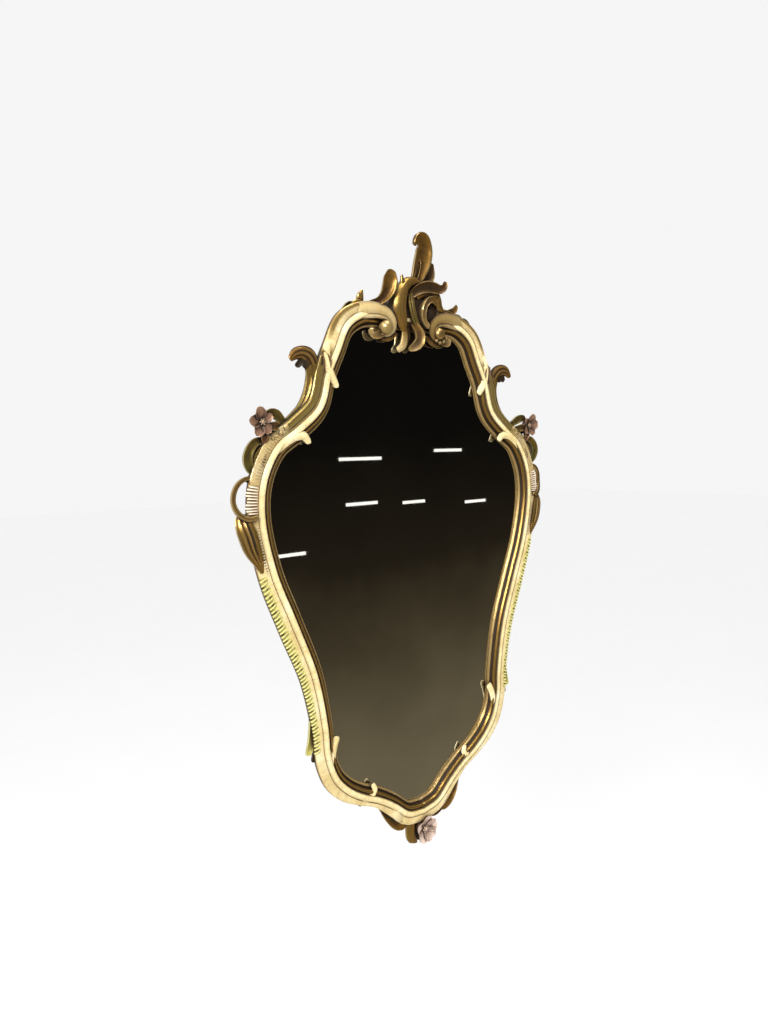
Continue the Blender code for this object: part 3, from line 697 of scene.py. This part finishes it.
# %% Hollow leaf, ring, shell, long leaf and teeth
both_sides([(262, -198, 14, 4, 6), (275, -201, 17, 5.6, 7), (284, -211, 18, 6.4, 8),
            (287, -223, 17, 6.8, 8), (283, -235, 15, 6, 7), (275, -242, 13, 4, 6)],
           cup=0.3, rim=0.12, root=mix(GILT, OLIVE, 0.3), tip=mix(GILT, OLIVE, 0.9))
both_sides([(268, -206, 13, 5, 6), (274, -218, 12, 6, 6), (272, -232, 12, 5, 6)], cup=0.4,
           groove=0.9)
both_sides([(266, -209, 16, 2.4, 4), (273, -217, 17, 2.6, 4), (276, -228, 16, 2.2, 4),
            (271, -236, 15, 1.8, 3)], cup=-0.3, root=mix(GILT, OLIVE, 0.3))
both_sides([(272, -240, 12, 6, 7), (279, -246, 13, 5.6, 7), (286, -250, 12, 3.6, 5)], cup=0.3,
           rim=0.14)
for side in (1, -1):
    bar([(266, -252, 13, 2.8), (275, -248, 13, 3.2), (286, -247.5, 12, 3.2),
         (297, -253, 11, 3.4), (304, -264, 10, 3.5), (305.8, -278, 9.5, 3.5),
         (302.5, -290, 12, 3.8), (295, -298, 15, 4), (286, -301, 18.5, 4), (280, -299, 20.5, 3.4)],
        side=side)
    bar([(280, -249, 14, 2.2), (284, -254, 15, 2.4), (281, -259, 15, 2.2), (275, -258, 15, 1.8)],
        side=side)
both_sides([(295, -297, 13, 10, 9), (293, -309, 18, 13.5, 10), (289.5, -323, 20.5, 14, 12),
            (285, -341, 21.5, 12, 12), (278, -358, 21, 7.5, 10), (273, -371, 19, 3.2, 7)],
           cup=-0.25, flutes=4, flute=0.11, root=GILT, tip=GILT)
both_sides([(289.5, -300, 19, 2.4, 4), (283, -318, 22.5, 3, 4), (279, -335, 23.5, 2.6, 4),
            (274.5, -352, 22, 1.6, 3)], cup=-0.4)
SHELL = mix(CREAM, PINK, 0.55)
made = teeth(-294, -254, 3.7, 0.12, 1.14, 2.4, 0, 1.5, SHELL, wave=0.28)
made += teeth(-640, -372, 5.6, 0.42, 0.96, 1.5, -2.6, 1.8, mix(CREAM, LIME, 0.85))
made += teeth(-372, -304, 3.9, 0.08, 0.42, 1.6, -0.5, 1.4, mix(CREAM, GILT, 0.2))
made += teeth(-250, -190, 4.1, 0.1, 0.6, 1.5, -0.8, 1.4, mix(CREAM, GILT, 0.7))
both_sides([(202, -588, 12, 4, 8), (202, -608, 12, 6, 8), (205, -628, 12, 6.6, 7),
            (210, -642, 12, 5.4, 5)], cup=0.25, rim=0.12, root=mix(CREAM, LIME, 0.7),
           tip=mix(CREAM, LIME, 0.9), groove=0.15)
both_sides([(203, -655, 13, 3.4, 6), (199, -646, 14, 4.4, 7), (196, -653, 14, 3.6, 6)], cup=0.2,
           groove=0.7)
print(made, "teeth on each side,", len(parts), "parts so far")

# %% [markdown]
# ## The foot
# Under the middle hang a pale flower, a fat gold leaf and a dark one; small scrolls join them to
# the moulding on both sides.

# %% Foot
both_sides([(82, -772, 11, 5, 7), (71, -787, 13, 9, 8), (61, -801, 15, 9.4, 8),
            (52, -810, 16, 7.6, 8), (42, -813, 16, 5.6, 7), (36, -808, 14, 3, 4)], cup=0.3,
           rim=0.16)
leaf([(-12, -806, 12, 8, 9), (-21, -819, 16, 9, 10), (-24, -833, 17, 10, 9),
      (-22, -846, 16, 8.6, 8), (-14, -854.5, 13, 5, 5)], cup=-0.55)
leaf([(-6, -812, 8, 8, 8), (-10, -832, 9, 9, 7), (-7, -848, 9, 6.4, 6), (-3, -855.5, 8, 3, 4)],
     cup=0.35, rim=0.16, groove=0.6)
leaf([(12, -812, 11, 6, 9), (26, -818, 13, 6.4, 8), (40, -815, 13, 5.4, 7),
      (50, -806, 12, 3.4, 4)], cup=0.25, rim=0.14)
leaf([(-66, -776, 17, 4, 7), (-60, -787, 19.5, 6.4, 8), (-52, -797, 19.5, 6.4, 7),
      (-42, -803, 18, 5, 6), (-33, -803, 16, 3, 4)], cup=-0.3, rim=0.1, root=CREAM,
     tip=mix(CREAM, GILT, 0.5))
FOOT_PETALS = [(30, 14.5, 8.4, 0.25), (100, 15, 8.6, 0.22), (165, 15.5, 8.6, 0.15),
               (235, 16, 9, 0.15), (305, 15, 8.6, 0.2)]
flower(-1, -835.5, 17, [(180 - a, r, w, h) for a, r, w, h in FOOT_PETALS], -1, PINK, PINK,
       mix(GILT, PINK, 0.7), size=1.32)
both_sides([(112, -750, 9, 4, 6), (119, -752, 10, 5, 6), (125, -748, 9, 3, 4)], cup=-0.5,
           groove=0.4)
print(len(parts), "parts in all")

# %% [markdown]
# ## One mesh
# The grids are joined into one mesh. Two more numbers are then measured at each point. Short
# rays show how shut in it is: painted shade goes there, with some grime and old glaze. The bend
# of the surface shows where it stands out: a painted highlight goes there, with some wear on the
# gold.

# %% Join the carving
def join_parts():
    points, faces, paints, runs = [], [], [], []
    start = 0
    for part in parts:
        rings, count = part["grid"].shape[:2]
        i = np.arange(rings if part["loop"] else rings - 1)[:, None]
        j = np.arange(count)[None]
        n = (i + 1) % rings
        m = (j + 1) % count
        quads = np.stack([i * count + j, i * count + m, n * count + m, n * count + j], -1)
        faces += (quads.reshape(-1, 4) + start).tolist()
        if not part["loop"]:
            faces.append([start + k for k in range(count)][::-1])
            faces.append([start + (rings - 1) * count + k for k in range(count)])
        points.append(part["grid"].reshape(-1, 3))
        paints.append(part["paint"].reshape(-1, 4))
        runs.append(part["run"].reshape(-1, 3))
        start += rings * count
    return np.vstack(points), faces, np.vstack(paints), np.vstack(runs)


points, faces, paints, runs = join_parts()
mesh = bpy.data.meshes.new("frame_carving")
mesh.from_pydata(points.tolist(), [], faces)
bm = bmesh.new()
bm.from_mesh(mesh)
bmesh.ops.recalc_face_normals(bm, faces=bm.faces)
bm.to_mesh(mesh)
bm.free()
mesh.update()
carving = bpy.data.objects.new("frame_carving", mesh)
bpy.context.scene.collection.objects.link(carving)
triangles = sum(len(p.vertices) - 2 for p in mesh.polygons)
print("carving:", len(points), "points,", triangles, "triangles")

# %% Measure hollows and edges
RAY_REACH = 14 * SQUARE
RAY_START = 0.0004
RAYS = 10
RAY_SHADE_GAIN, DRAWN_SHADE_GAIN, EDGE_GAIN = 1.45, 0.8, 3.0
SHARP_ANGLE = math.radians(55)


def vertex_normals():
    flat = np.empty(len(mesh.vertices) * 3)
    mesh.vertices.foreach_get("normal", flat)
    return flat.reshape(-1, 3)


def shut_in(normals):
    """Share of short rays from each point that hit the carving again."""
    tree = BVHTree.FromPolygons(points.tolist(), faces)
    golden = math.pi * (3 - math.sqrt(5))
    rays = []
    for k in range(RAYS):
        z = 0.25 + 0.7 * (k + 0.5) / RAYS
        r = math.sqrt(1 - z * z)
        rays.append((r * math.cos(golden * k), r * math.sin(golden * k), z))
    side = unit(np.cross(normals, np.array([0.31, 0.17, 0.93])))
    up = np.cross(normals, side)
    result = np.zeros(len(points))
    starts = points + normals * RAY_START
    for x, y, z in rays:
        directions = side * x + up * y + normals * z
        for i, (start, direction) in enumerate(zip(starts.tolist(), directions.tolist())):
            hit = tree.ray_cast(Vector(start), Vector(direction), RAY_REACH)
            if hit[0] is not None:
                result[i] += 1 - hit[3] / RAY_REACH
    return result / RAYS


def stands_out(normals):
    """How far each point stands out from its neighbours, as a share of their distance."""
    ends = np.empty(len(mesh.edges) * 2, int)
    mesh.edges.foreach_get("vertices", ends)
    a, b = ends.reshape(-1, 2).T
    total = np.zeros_like(points)
    count = np.zeros(len(points))
    far = np.zeros(len(points))
    for p, q in ((a, b), (b, a)):
        np.add.at(total, p, points[q])
        np.add.at(count, p, 1)
        np.add.at(far, p, np.linalg.norm(points[q] - points[p], axis=1))
    count = np.maximum(count, 1)
    gap = points - total / count[:, None]
    return np.einsum("ij,ij->i", gap, normals) / np.maximum(far / count, 1e-9)


normals = vertex_normals()
# Painted shade, with some grime: the share of short rays that hit the carving nearby, plus the
# drawn amounts.
shade_and_grime = np.clip(shut_in(normals) * RAY_SHADE_GAIN + runs[:, 2] * DRAWN_SHADE_GAIN, 0, 1)
# Painted highlight, with some wear: the points that stand out from their neighbours.
edge = np.clip(stands_out(normals) * EDGE_GAIN, 0, 1)
for name, values in (("gilding", paints[:, 0]), ("rose", paints[:, 1]), ("green", paints[:, 2]),
                     ("bare", paints[:, 3]), ("shade_and_grime", shade_and_grime), ("edge", edge)):
    mesh.attributes.new(name, "FLOAT", "POINT").data.foreach_set("value", values.astype(np.float32))
run_values = np.column_stack([runs[:, 0] * SQUARE, runs[:, 1] * SQUARE, np.zeros(len(runs))])
run_layer = mesh.attributes.new("run", "FLOAT_VECTOR", "POINT")
run_layer.data.foreach_set("vector", run_values.astype(np.float32).ravel())
mesh.shade_smooth()
mesh.set_sharp_from_angle(angle=SHARP_ANGLE)
print("shade_and_grime", round(float(shade_and_grime.mean()), 3), "edge", round(float(edge.mean()), 3))

# %% [markdown]
# ## Node helpers
# A material is a small graph of nodes. Short functions keep the recipes below readable: they add
# a node with its settings, mix two colours, do a sum with two numbers, turn a number into a
# colour, and read noise or one of the numbers that were measured on the carving.

# %% Node helpers
def new_material(name):
    material = bpy.data.materials.new(name)
    material.use_nodes = True
    tree = material.node_tree
    shader = tree.nodes["Principled BSDF"]
    return material, tree, shader


def add(tree, kind, inputs=None, **settings):
    """Add a node; inputs gives sockets by name or number, as a value or as another socket."""
    made = tree.nodes.new(kind)
    for key, value in settings.items():
        setattr(made, key, value)
    for key, value in (inputs or {}).items():
        if isinstance(value, bpy.types.NodeSocket):
            tree.links.new(value, made.inputs[key])
        else:
            made.inputs[key].default_value = value
    return made


def blend(tree, share, one, other):
    """Mix two colours by share; each may be a colour or a socket."""
    return add(tree, "ShaderNodeMix", {0: share, 6: one, 7: other}, data_type="RGBA").outputs[2]


def sum_of(tree, operation, a, b, clamp=False):
    made = add(tree, "ShaderNodeMath", {0: a, 1: b}, operation=operation, use_clamp=clamp)
    return made.outputs[0]


def times(tree, a, b):
    return sum_of(tree, "MULTIPLY", a, b)


def link_bump(tree, shader, height, strength, distance):
    bump = add(tree, "ShaderNodeBump",
               {"Strength": strength, "Distance": distance, "Height": height})
    tree.links.new(bump.outputs[0], shader.inputs["Normal"])


def object_place(tree):
    return add(tree, "ShaderNodeTexCoord").outputs["Object"]


def ramp(tree, value, stops):
    made = add(tree, "ShaderNodeValToRGB", {0: value})
    points_of = made.color_ramp.elements
    while len(points_of) < len(stops):
        points_of.new(0.5)
    for point, (place, tint) in zip(points_of, stops):
        point.position = place
        point.color = (*tint, 1)
    return made.outputs[0]


def noise(tree, vector, scale, detail=4.0, rough=0.55):
    return add(tree, "ShaderNodeTexNoise",
               {"Vector": vector, "Scale": scale, "Detail": detail, "Roughness": rough}).outputs[0]


def attribute(tree, name, output="Fac"):
    return add(tree, "ShaderNodeAttribute", attribute_name=name).outputs[output]


def colour(red, green, blue):
    """A display colour out of 255 as the linear colour that the shader needs."""
    def linear(v):
        v = v / 255
        return v / 12.92 if v <= 0.04045 else ((v + 0.055) / 1.055) ** 2.4
    return (linear(red), linear(green), linear(blue))


def solid(red, green, blue):
    return (*colour(red, green, blue), 1)


print("linear cream:", [round(v, 3) for v in colour(233, 213, 158)])

# %% [markdown]
# ## Cream and gold
# The frame was gessoed, painted cream and crackled with age. Its hollows get painted shade,
# brown on the cream and near black on the gold, mixed with some grime and glaze. Leaves are
# bronze-gold leaf, with a painted highlight and some wear on their edges and painted shade in
# their folds. One material holds all of it: the numbers measured above say which finish shows
# where.

# %% Crackle
def crackle(tree, run):
    """Fine cracks, most of them across the moulding: 1 in a crack and 0 beside it."""
    cells = add(tree, "ShaderNodeMapping", {"Vector": run, "Scale": (100, 22, 1)}).outputs[0]
    wobble = add(tree, "ShaderNodeTexNoise", {"Vector": cells, "Scale": 0.8, "Detail": 2.0})
    bent = add(tree, "ShaderNodeVectorMath", {0: cells, 1: wobble.outputs["Color"]},
               operation="ADD").outputs[0]
    layers = []
    for scale, strength in ((1.0, 0.9), (2.7, 0.45)):
        distance = add(tree, "ShaderNodeTexVoronoi", {"Vector": bent, "Scale": scale},
                       feature="DISTANCE_TO_EDGE").outputs["Distance"]
        layers.append(ramp(tree, distance, [(0.0, (strength,) * 3), (0.018, (strength * 0.4,) * 3),
                                            (0.04, (0, 0, 0))]))
    return sum_of(tree, "MAXIMUM", *layers)


print("cracks in two sizes")

# %% Paint and gold
def cream_paint(tree, broad, cracks, shade_and_dirt, highlight_and_wear):
    paint = ramp(tree, broad, [(0.3, colour(212, 188, 126)), (0.52, colour(233, 213, 158)),
                               (0.72, colour(243, 231, 190))])
    paint = blend(tree, times(tree, cracks, 0.5), paint, solid(138, 108, 56))
    # Brown in painted shade, mixed with some grime.
    paint = blend(tree, shade_and_dirt, paint, solid(96, 64, 24))
    # Near-white painted highlight on the edges, with some wear.
    return blend(tree, times(tree, highlight_and_wear, 0.4), paint, solid(250, 242, 212))


def old_gold(tree, broad, shade_and_dirt, highlight_and_wear):
    # The gold goes to near black in painted shade, mixed with some grime.
    gold = ramp(tree, shade_and_dirt, [(0.0, colour(206, 164, 84)), (0.2, colour(160, 118, 50)),
                             (0.42, colour(78, 52, 20)), (0.7, colour(20, 12, 5))])
    gold = blend(tree, times(tree, broad, 0.3), gold, solid(104, 74, 30))
    # Pale gold painted highlight on the edges, with some wear.
    return blend(tree, times(tree, highlight_and_wear, 0.85), gold, solid(236, 208, 146))


# Each tint: its ramp into painted shade and grime, and for metal tints the tone of the painted
# highlight.
TINTS = {
    "copper": ([(0.0, (204, 158, 126)), (0.35, (146, 100, 72)), (0.8, (44, 26, 18))],
               (232, 202, 184)),
    "olive": ([(0.0, (142, 140, 70)), (0.4, (78, 76, 32)), (0.85, (24, 22, 9))],
              (214, 212, 140)),
    "petal": ([(0.0, (232, 214, 202)), (0.5, (184, 156, 138)), (0.9, (78, 58, 46))], None),
    "lime": ([(0.0, (222, 216, 128)), (0.45, (150, 142, 58)), (0.9, (62, 54, 20))], None),
}


def tinted(tree, name, shade_and_dirt, highlight_and_wear):
    """A tint that darkens with painted shade and grime; metal tints also get a painted highlight,
    with some wear, on their edges.
    """
    stops, bright = TINTS[name]
    tint = ramp(tree, shade_and_dirt, [(place, colour(*tone)) for place, tone in stops])
    if bright:
        tint = blend(tree, times(tree, highlight_and_wear, 0.7), tint, solid(*bright))
    return tint


print("tints:", ", ".join(TINTS))

# %% Frame material
def frame_material():
    material, tree, shader = new_material("cream_and_gold")
    place = object_place(tree)
    gilding, rose, green, bare, shade_and_grime_in, edge_highlight_in = (
        attribute(tree, name) for name in ("gilding", "rose", "green", "bare", "shade_and_grime", "edge"))
    broad, middle = noise(tree, place, 28, 3), noise(tree, place, 110, 4)
    fine = noise(tree, place, 420, 5)
    cracks = crackle(tree, attribute(tree, "run", "Vector"))

    # Painted shade, with some grime: the measured amount plus random noise.
    shade_and_dirt = sum_of(tree, "ADD", shade_and_grime_in, times(tree, middle, 0.3))
    shade_and_dirt = sum_of(tree, "SUBTRACT", shade_and_dirt, 0.15, clamp=True)
    # Painted highlight, with some wear, on the edges that stand out, kept out of the painted shade.
    highlight_and_wear = sum_of(tree, "MULTIPLY", edge_highlight_in, sum_of(tree, "ADD", fine, 0.35), clamp=True)
    unshaded_and_clean = sum_of(tree, "SUBTRACT", 1.0, times(tree, shade_and_dirt, 1.8), clamp=True)
    highlight_and_wear = times(tree, highlight_and_wear, unshaded_and_clean)

    base = blend(tree, gilding, cream_paint(tree, broad, cracks, shade_and_dirt, highlight_and_wear),
                 old_gold(tree, broad, shade_and_dirt, highlight_and_wear))
    for share, painted, gilt in ((green, "lime", "olive"), (rose, "petal", "copper")):
        tint = blend(tree, gilding, tinted(tree, painted, shade_and_dirt, highlight_and_wear),
                     tinted(tree, gilt, shade_and_dirt, highlight_and_wear))
        base = blend(tree, share, base, tint)
    wood = ramp(tree, noise(tree, place, 60, 6), [(0.3, colour(98, 70, 44)),
                                                  (0.7, colour(142, 108, 72))])
    tree.links.new(blend(tree, bare, base, wood), shader.inputs["Base Color"])

    metal = times(tree, gilding, sum_of(tree, "SUBTRACT", 1.0, bare))
    # Less metal in painted shade and grime.
    metal = times(tree, metal, sum_of(tree, "SUBTRACT", 0.9, shade_and_dirt, clamp=True))
    tree.links.new(metal, shader.inputs["Metallic"])
    rough = sum_of(tree, "ADD", times(tree, fine, 0.22), times(tree, shade_and_dirt, 0.3))
    rough = sum_of(tree, "ADD", rough, 0.2)
    rough = sum_of(tree, "ADD", rough, times(tree, bare, 0.35), clamp=True)
    tree.links.new(rough, shader.inputs["Roughness"])

    crack_depth = times(tree, cracks, sum_of(tree, "SUBTRACT", 1.0, gilding))
    height = sum_of(tree, "SUBTRACT", times(tree, fine, 0.4), crack_depth)
    link_bump(tree, shader, height, 0.35, 0.0006)
    return material


mesh.materials.append(frame_material())
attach(carving, "root")
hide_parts("carved_frame")
print("frame painted")

# %% [markdown]
# ## Glass, board and hardware
# The glass is silvered at the back, so it is a metal mirror under a clear skin. Behind it lies
# a plain board. The hanging plate is zinc-plated steel and its screws are brass.

# %% Glass and back
def glass_material():
    material, tree, shader = new_material("silvered_glass")
    place = object_place(tree)
    haze = noise(tree, place, 9, 4)
    base = ramp(tree, haze, [(0.3, (0.80, 0.81, 0.79)), (0.7, (0.86, 0.87, 0.85))])
    tree.links.new(base, shader.inputs["Base Color"])
    shader.inputs["Metallic"].default_value = 1
    tree.links.new(times(tree, noise(tree, place, 40, 5), 0.03), shader.inputs["Roughness"])
    shader.inputs["Coat Weight"].default_value = 0.3
    shader.inputs["Coat Roughness"].default_value = 0.02
    return material


def board_material():
    material, tree, shader = new_material("backing_board")
    grain = add(tree, "ShaderNodeMapping",
                {"Vector": object_place(tree), "Scale": (60, 60, 4)}).outputs[0]
    streaks = noise(tree, grain, 2.2, 6, 0.6)
    base = ramp(tree, streaks, [(0.3, colour(96, 66, 40)), (0.55, colour(134, 98, 62)),
                                (0.75, colour(158, 122, 82))])
    tree.links.new(base, shader.inputs["Base Color"])
    shader.inputs["Roughness"].default_value = 0.75
    link_bump(tree, shader, streaks, 0.25, 0.0004)
    return material


def metal_material(name, tint, dark, scale):
    material, tree, shader = new_material(name)
    place = object_place(tree)
    spots = noise(tree, place, scale, 5)
    brushed = add(tree, "ShaderNodeMapping", {"Vector": place, "Scale": (900, 900, 60)}).outputs[0]
    lines = noise(tree, brushed, 1.0, 3)
    base = ramp(tree, spots, [(0.35, dark), (0.6, tint)])
    tree.links.new(base, shader.inputs["Base Color"])
    shader.inputs["Metallic"].default_value = 1
    rough = sum_of(tree, "ADD", times(tree, lines, 0.25), 0.22)
    tree.links.new(rough, shader.inputs["Roughness"])
    link_bump(tree, shader, lines, 0.15, 0.0002)
    return material


def repaint(node, material):
    solid_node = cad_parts[node]
    solid_node.data.materials.clear()
    solid_node.data.materials.append(material)


repaint("mirror_glass", glass_material())
repaint("back_board", board_material())
zinc = metal_material("zinc_plate", colour(190, 190, 188), colour(128, 126, 122), 90)
brass = metal_material("screw_brass", colour(206, 176, 110), colour(140, 108, 58), 200)
repaint("hanging_plate", zinc)
repaint("upper_screw", brass)
repaint("lower_screw", brass)
print("glass, board and hardware painted")

# %% [markdown]
# ## Floor, light and what the glass sees
# The mirror hangs in a plain pale studio. Glass shows what is in front of it, and gold looks
# rich only when it reflects something dark. So dark panels stand round the object, seen only by
# reflections: near black above, warm grey below, with a few bright strips.

# %% Studio
def flat_panel(name, corners, material):
    panel_mesh = bpy.data.meshes.new(name)
    panel_mesh.from_pydata(corners, [], [(0, 1, 2, 3)])
    panel = bpy.data.objects.new(name, panel_mesh)
    bpy.context.scene.collection.objects.link(panel)
    panel_mesh.materials.append(material)
    return panel


def only_in_reflections(item):
    for ray in ("camera", "diffuse", "shadow", "transmission", "volume_scatter"):
        setattr(item, "visible_" + ray, False)


def pale_material():
    material, tree, shader = new_material("pale_studio")
    base = ramp(tree, noise(tree, object_place(tree), 3, 2),
                [(0.3, (0.98, 0.98, 0.98)), (0.7, (0.99, 0.99, 0.99))])
    tree.links.new(base, shader.inputs["Base Color"])
    shader.inputs["Roughness"].default_value = 0.8
    return material


def glow_material(name, strength):
    """A material that only shines, with its tree and glow node for more settings."""
    material = bpy.data.materials.new(name)
    material.use_nodes = True
    tree = material.node_tree
    tree.nodes.clear()
    glow = add(tree, "ShaderNodeEmission", {"Color": (1, 0.97, 0.9, 1), "Strength": strength})
    out = add(tree, "ShaderNodeOutputMaterial")
    tree.links.new(glow.outputs[0], out.inputs[0])
    return material, tree, glow


FLOOR = frame_low.z - 1.6
REACH = 30.0
floor = flat_panel("floor", [(-REACH, -REACH, FLOOR), (REACH, -REACH, FLOOR),
                             (REACH, REACH, FLOOR), (-REACH, REACH, FLOOR)], pale_material())
floor.visible_glossy = False
print("floor at", round(FLOOR, 2), "m")

# %% Dark panels
STAND_OFF = 0.02
ROOM_FRONT = -3.2
ROOM_SIDE = 7.0
ROOM_LEFT = -3.4
ROOM_BACK = 1.4
ROOM_TOP = 3.2
ROOM_LOW = -5.0


def room_material():
    material, tree, glow = glow_material("dark_room", 1.0)
    place = object_place(tree)
    apart = add(tree, "ShaderNodeSeparateXYZ", {0: place})
    height = add(tree, "ShaderNodeMapRange", {"Value": apart.outputs[2], "From Min": ROOM_LOW,
                                              "From Max": ROOM_TOP}).outputs[0]
    drift = sum_of(tree, "SUBTRACT", noise(tree, place, 1.3, 4), 0.5)
    value = sum_of(tree, "ADD", height, times(tree, drift, 0.08))
    tone = ramp(tree, value, [(0.0, colour(128, 118, 94)), (0.28, colour(108, 98, 76)),
                              (0.40, colour(70, 62, 46)), (0.48, colour(36, 30, 22)),
                              (0.60, colour(14, 13, 11)), (0.9, colour(8, 8, 8))])
    tree.links.new(tone, glow.inputs["Color"])
    return material


def room_walls():
    material = room_material()
    x0, x1, y0, y1, z0, z1 = ROOM_LEFT, ROOM_SIDE, ROOM_FRONT, ROOM_BACK, ROOM_LOW, ROOM_TOP
    walls = {
        "room_front": [(x0, y0, z0), (x1, y0, z0), (x1, y0, z1), (x0, y0, z1)],
        "room_left": [(x0, y0, z0), (x0, y1, z0), (x0, y1, z1), (x0, y0, z1)],
        "room_right": [(x1, y0, z0), (x1, y1, z0), (x1, y1, z1), (x1, y0, z1)],
        "room_ceiling": [(x0, y0, z1), (x1, y0, z1), (x1, y1, z1), (x0, y1, z1)],
        "room_ground": [(x0, y0, z0), (x1, y0, z0), (x1, y1, z0), (x0, y1, z0)],
    }
    for name, corners in walls.items():
        only_in_reflections(flat_panel(name, corners, material))


room_walls()
print("five dark panels")

# %% Bright strips
STRIPS = [(2.0, -0.26, 0.40), (2.95, -0.21, 0.32), (2.05, -0.60, 0.30), (2.6, -0.62, 0.24),
          (1.45, -0.92, 0.24), (3.3, -0.66, 0.26)]
STRIP_TALL = 0.024


def strip_lamps():
    material = glow_material("strip_lamp", 1.3)[0]
    y = ROOM_FRONT + STAND_OFF
    for k, (across, up, long) in enumerate(STRIPS):
        end, top = across + long, up + STRIP_TALL
        corners = [(across, y, up), (end, y, up), (end, y, top), (across, y, top)]
        only_in_reflections(flat_panel(f"strip_lamp_{k + 1}", corners, material))


def soft_windows():
    """Wide soft lights at the left and above, which draw bright lines on the gold."""
    material = glow_material("soft_window", 1.9)[0]
    x, z = ROOM_LEFT + STAND_OFF, ROOM_TOP - STAND_OFF
    panels = {
        "soft_window_left": [(x, -2.6, 0.1), (x, -0.4, 0.1), (x, -0.4, 2.4), (x, -2.6, 2.4)],
        "soft_window_above": [(-1.6, -2.2, z), (1.2, -2.2, z), (1.2, -0.9, z), (-1.6, -0.9, z)],
    }
    for name, corners in panels.items():
        only_in_reflections(flat_panel(name, corners, material))


strip_lamps()
soft_windows()

# %% Lights
def area_light(name, place, target, size, power, shows):
    data = bpy.data.lights.new(name, "AREA")
    data.shape = "DISK"
    data.size = size
    data.energy = power
    light = bpy.data.objects.new(name, data)
    light.location = place
    light.rotation_mode = "QUATERNION"
    light.rotation_quaternion = (Vector(target) - Vector(place)).to_track_quat("-Z", "Y")
    light.visible_glossy = shows
    bpy.context.scene.collection.objects.link(light)


centre = (frame_low + frame_high) / 2
area_light("key_light", (-2.0, -1.3, 0.9), centre, 0.9, 62, True)
area_light("fill_light", (1.4, -2.2, 0.5), centre, 1.5, 16, False)
area_light("top_light", (0.2, -0.5, 1.9), centre, 0.7, 16, True)
world = bpy.data.worlds.new("pale_studio_air")
world.use_nodes = True
air = world.node_tree.nodes["Background"]
air.inputs["Color"].default_value = (1, 1, 1, 1)
air.inputs["Strength"].default_value = 0.92
bpy.context.scene.world = world
bpy.context.scene.view_settings.view_transform = "Standard"
print("lights set")

# %% [markdown]
# ## Camera
# The photograph was taken from the left, a little above the middle of the mirror, with the
# camera turned right and tipped a trifle. The angles were fitted to the outline of the moulding.

# %% Camera
YAW, PITCH, ROLL = (math.radians(a) for a in (37.97, -5.12, 1.52))
CAMERA_PLACE = (-0.6587, -0.7903, -0.2212)
FOCAL_PIXELS = 640.8
IMAGE_TALL = 1024
camera_data = bpy.data.cameras.new("camera")
camera_data.sensor_width = 36
camera_data.lens = camera_data.sensor_width * FOCAL_PIXELS / IMAGE_TALL
camera = bpy.data.objects.new("camera", camera_data)
bpy.context.scene.collection.objects.link(camera)
view_line = Vector((math.sin(YAW) * math.cos(PITCH), math.cos(YAW) * math.cos(PITCH),
                    math.sin(PITCH)))
level_right = Vector((math.cos(YAW), -math.sin(YAW), 0))
level_down = view_line.cross(level_right)
right = level_right * math.cos(ROLL) + level_down * math.sin(ROLL)
down = level_right * -math.sin(ROLL) + level_down * math.cos(ROLL)
pose = Matrix((right, -down, -view_line)).transposed().to_4x4()
pose.translation = CAMERA_PLACE
camera.matrix_world = pose
bpy.context.scene.camera = camera
print("camera at", [round(v, 3) for v in pose.translation])
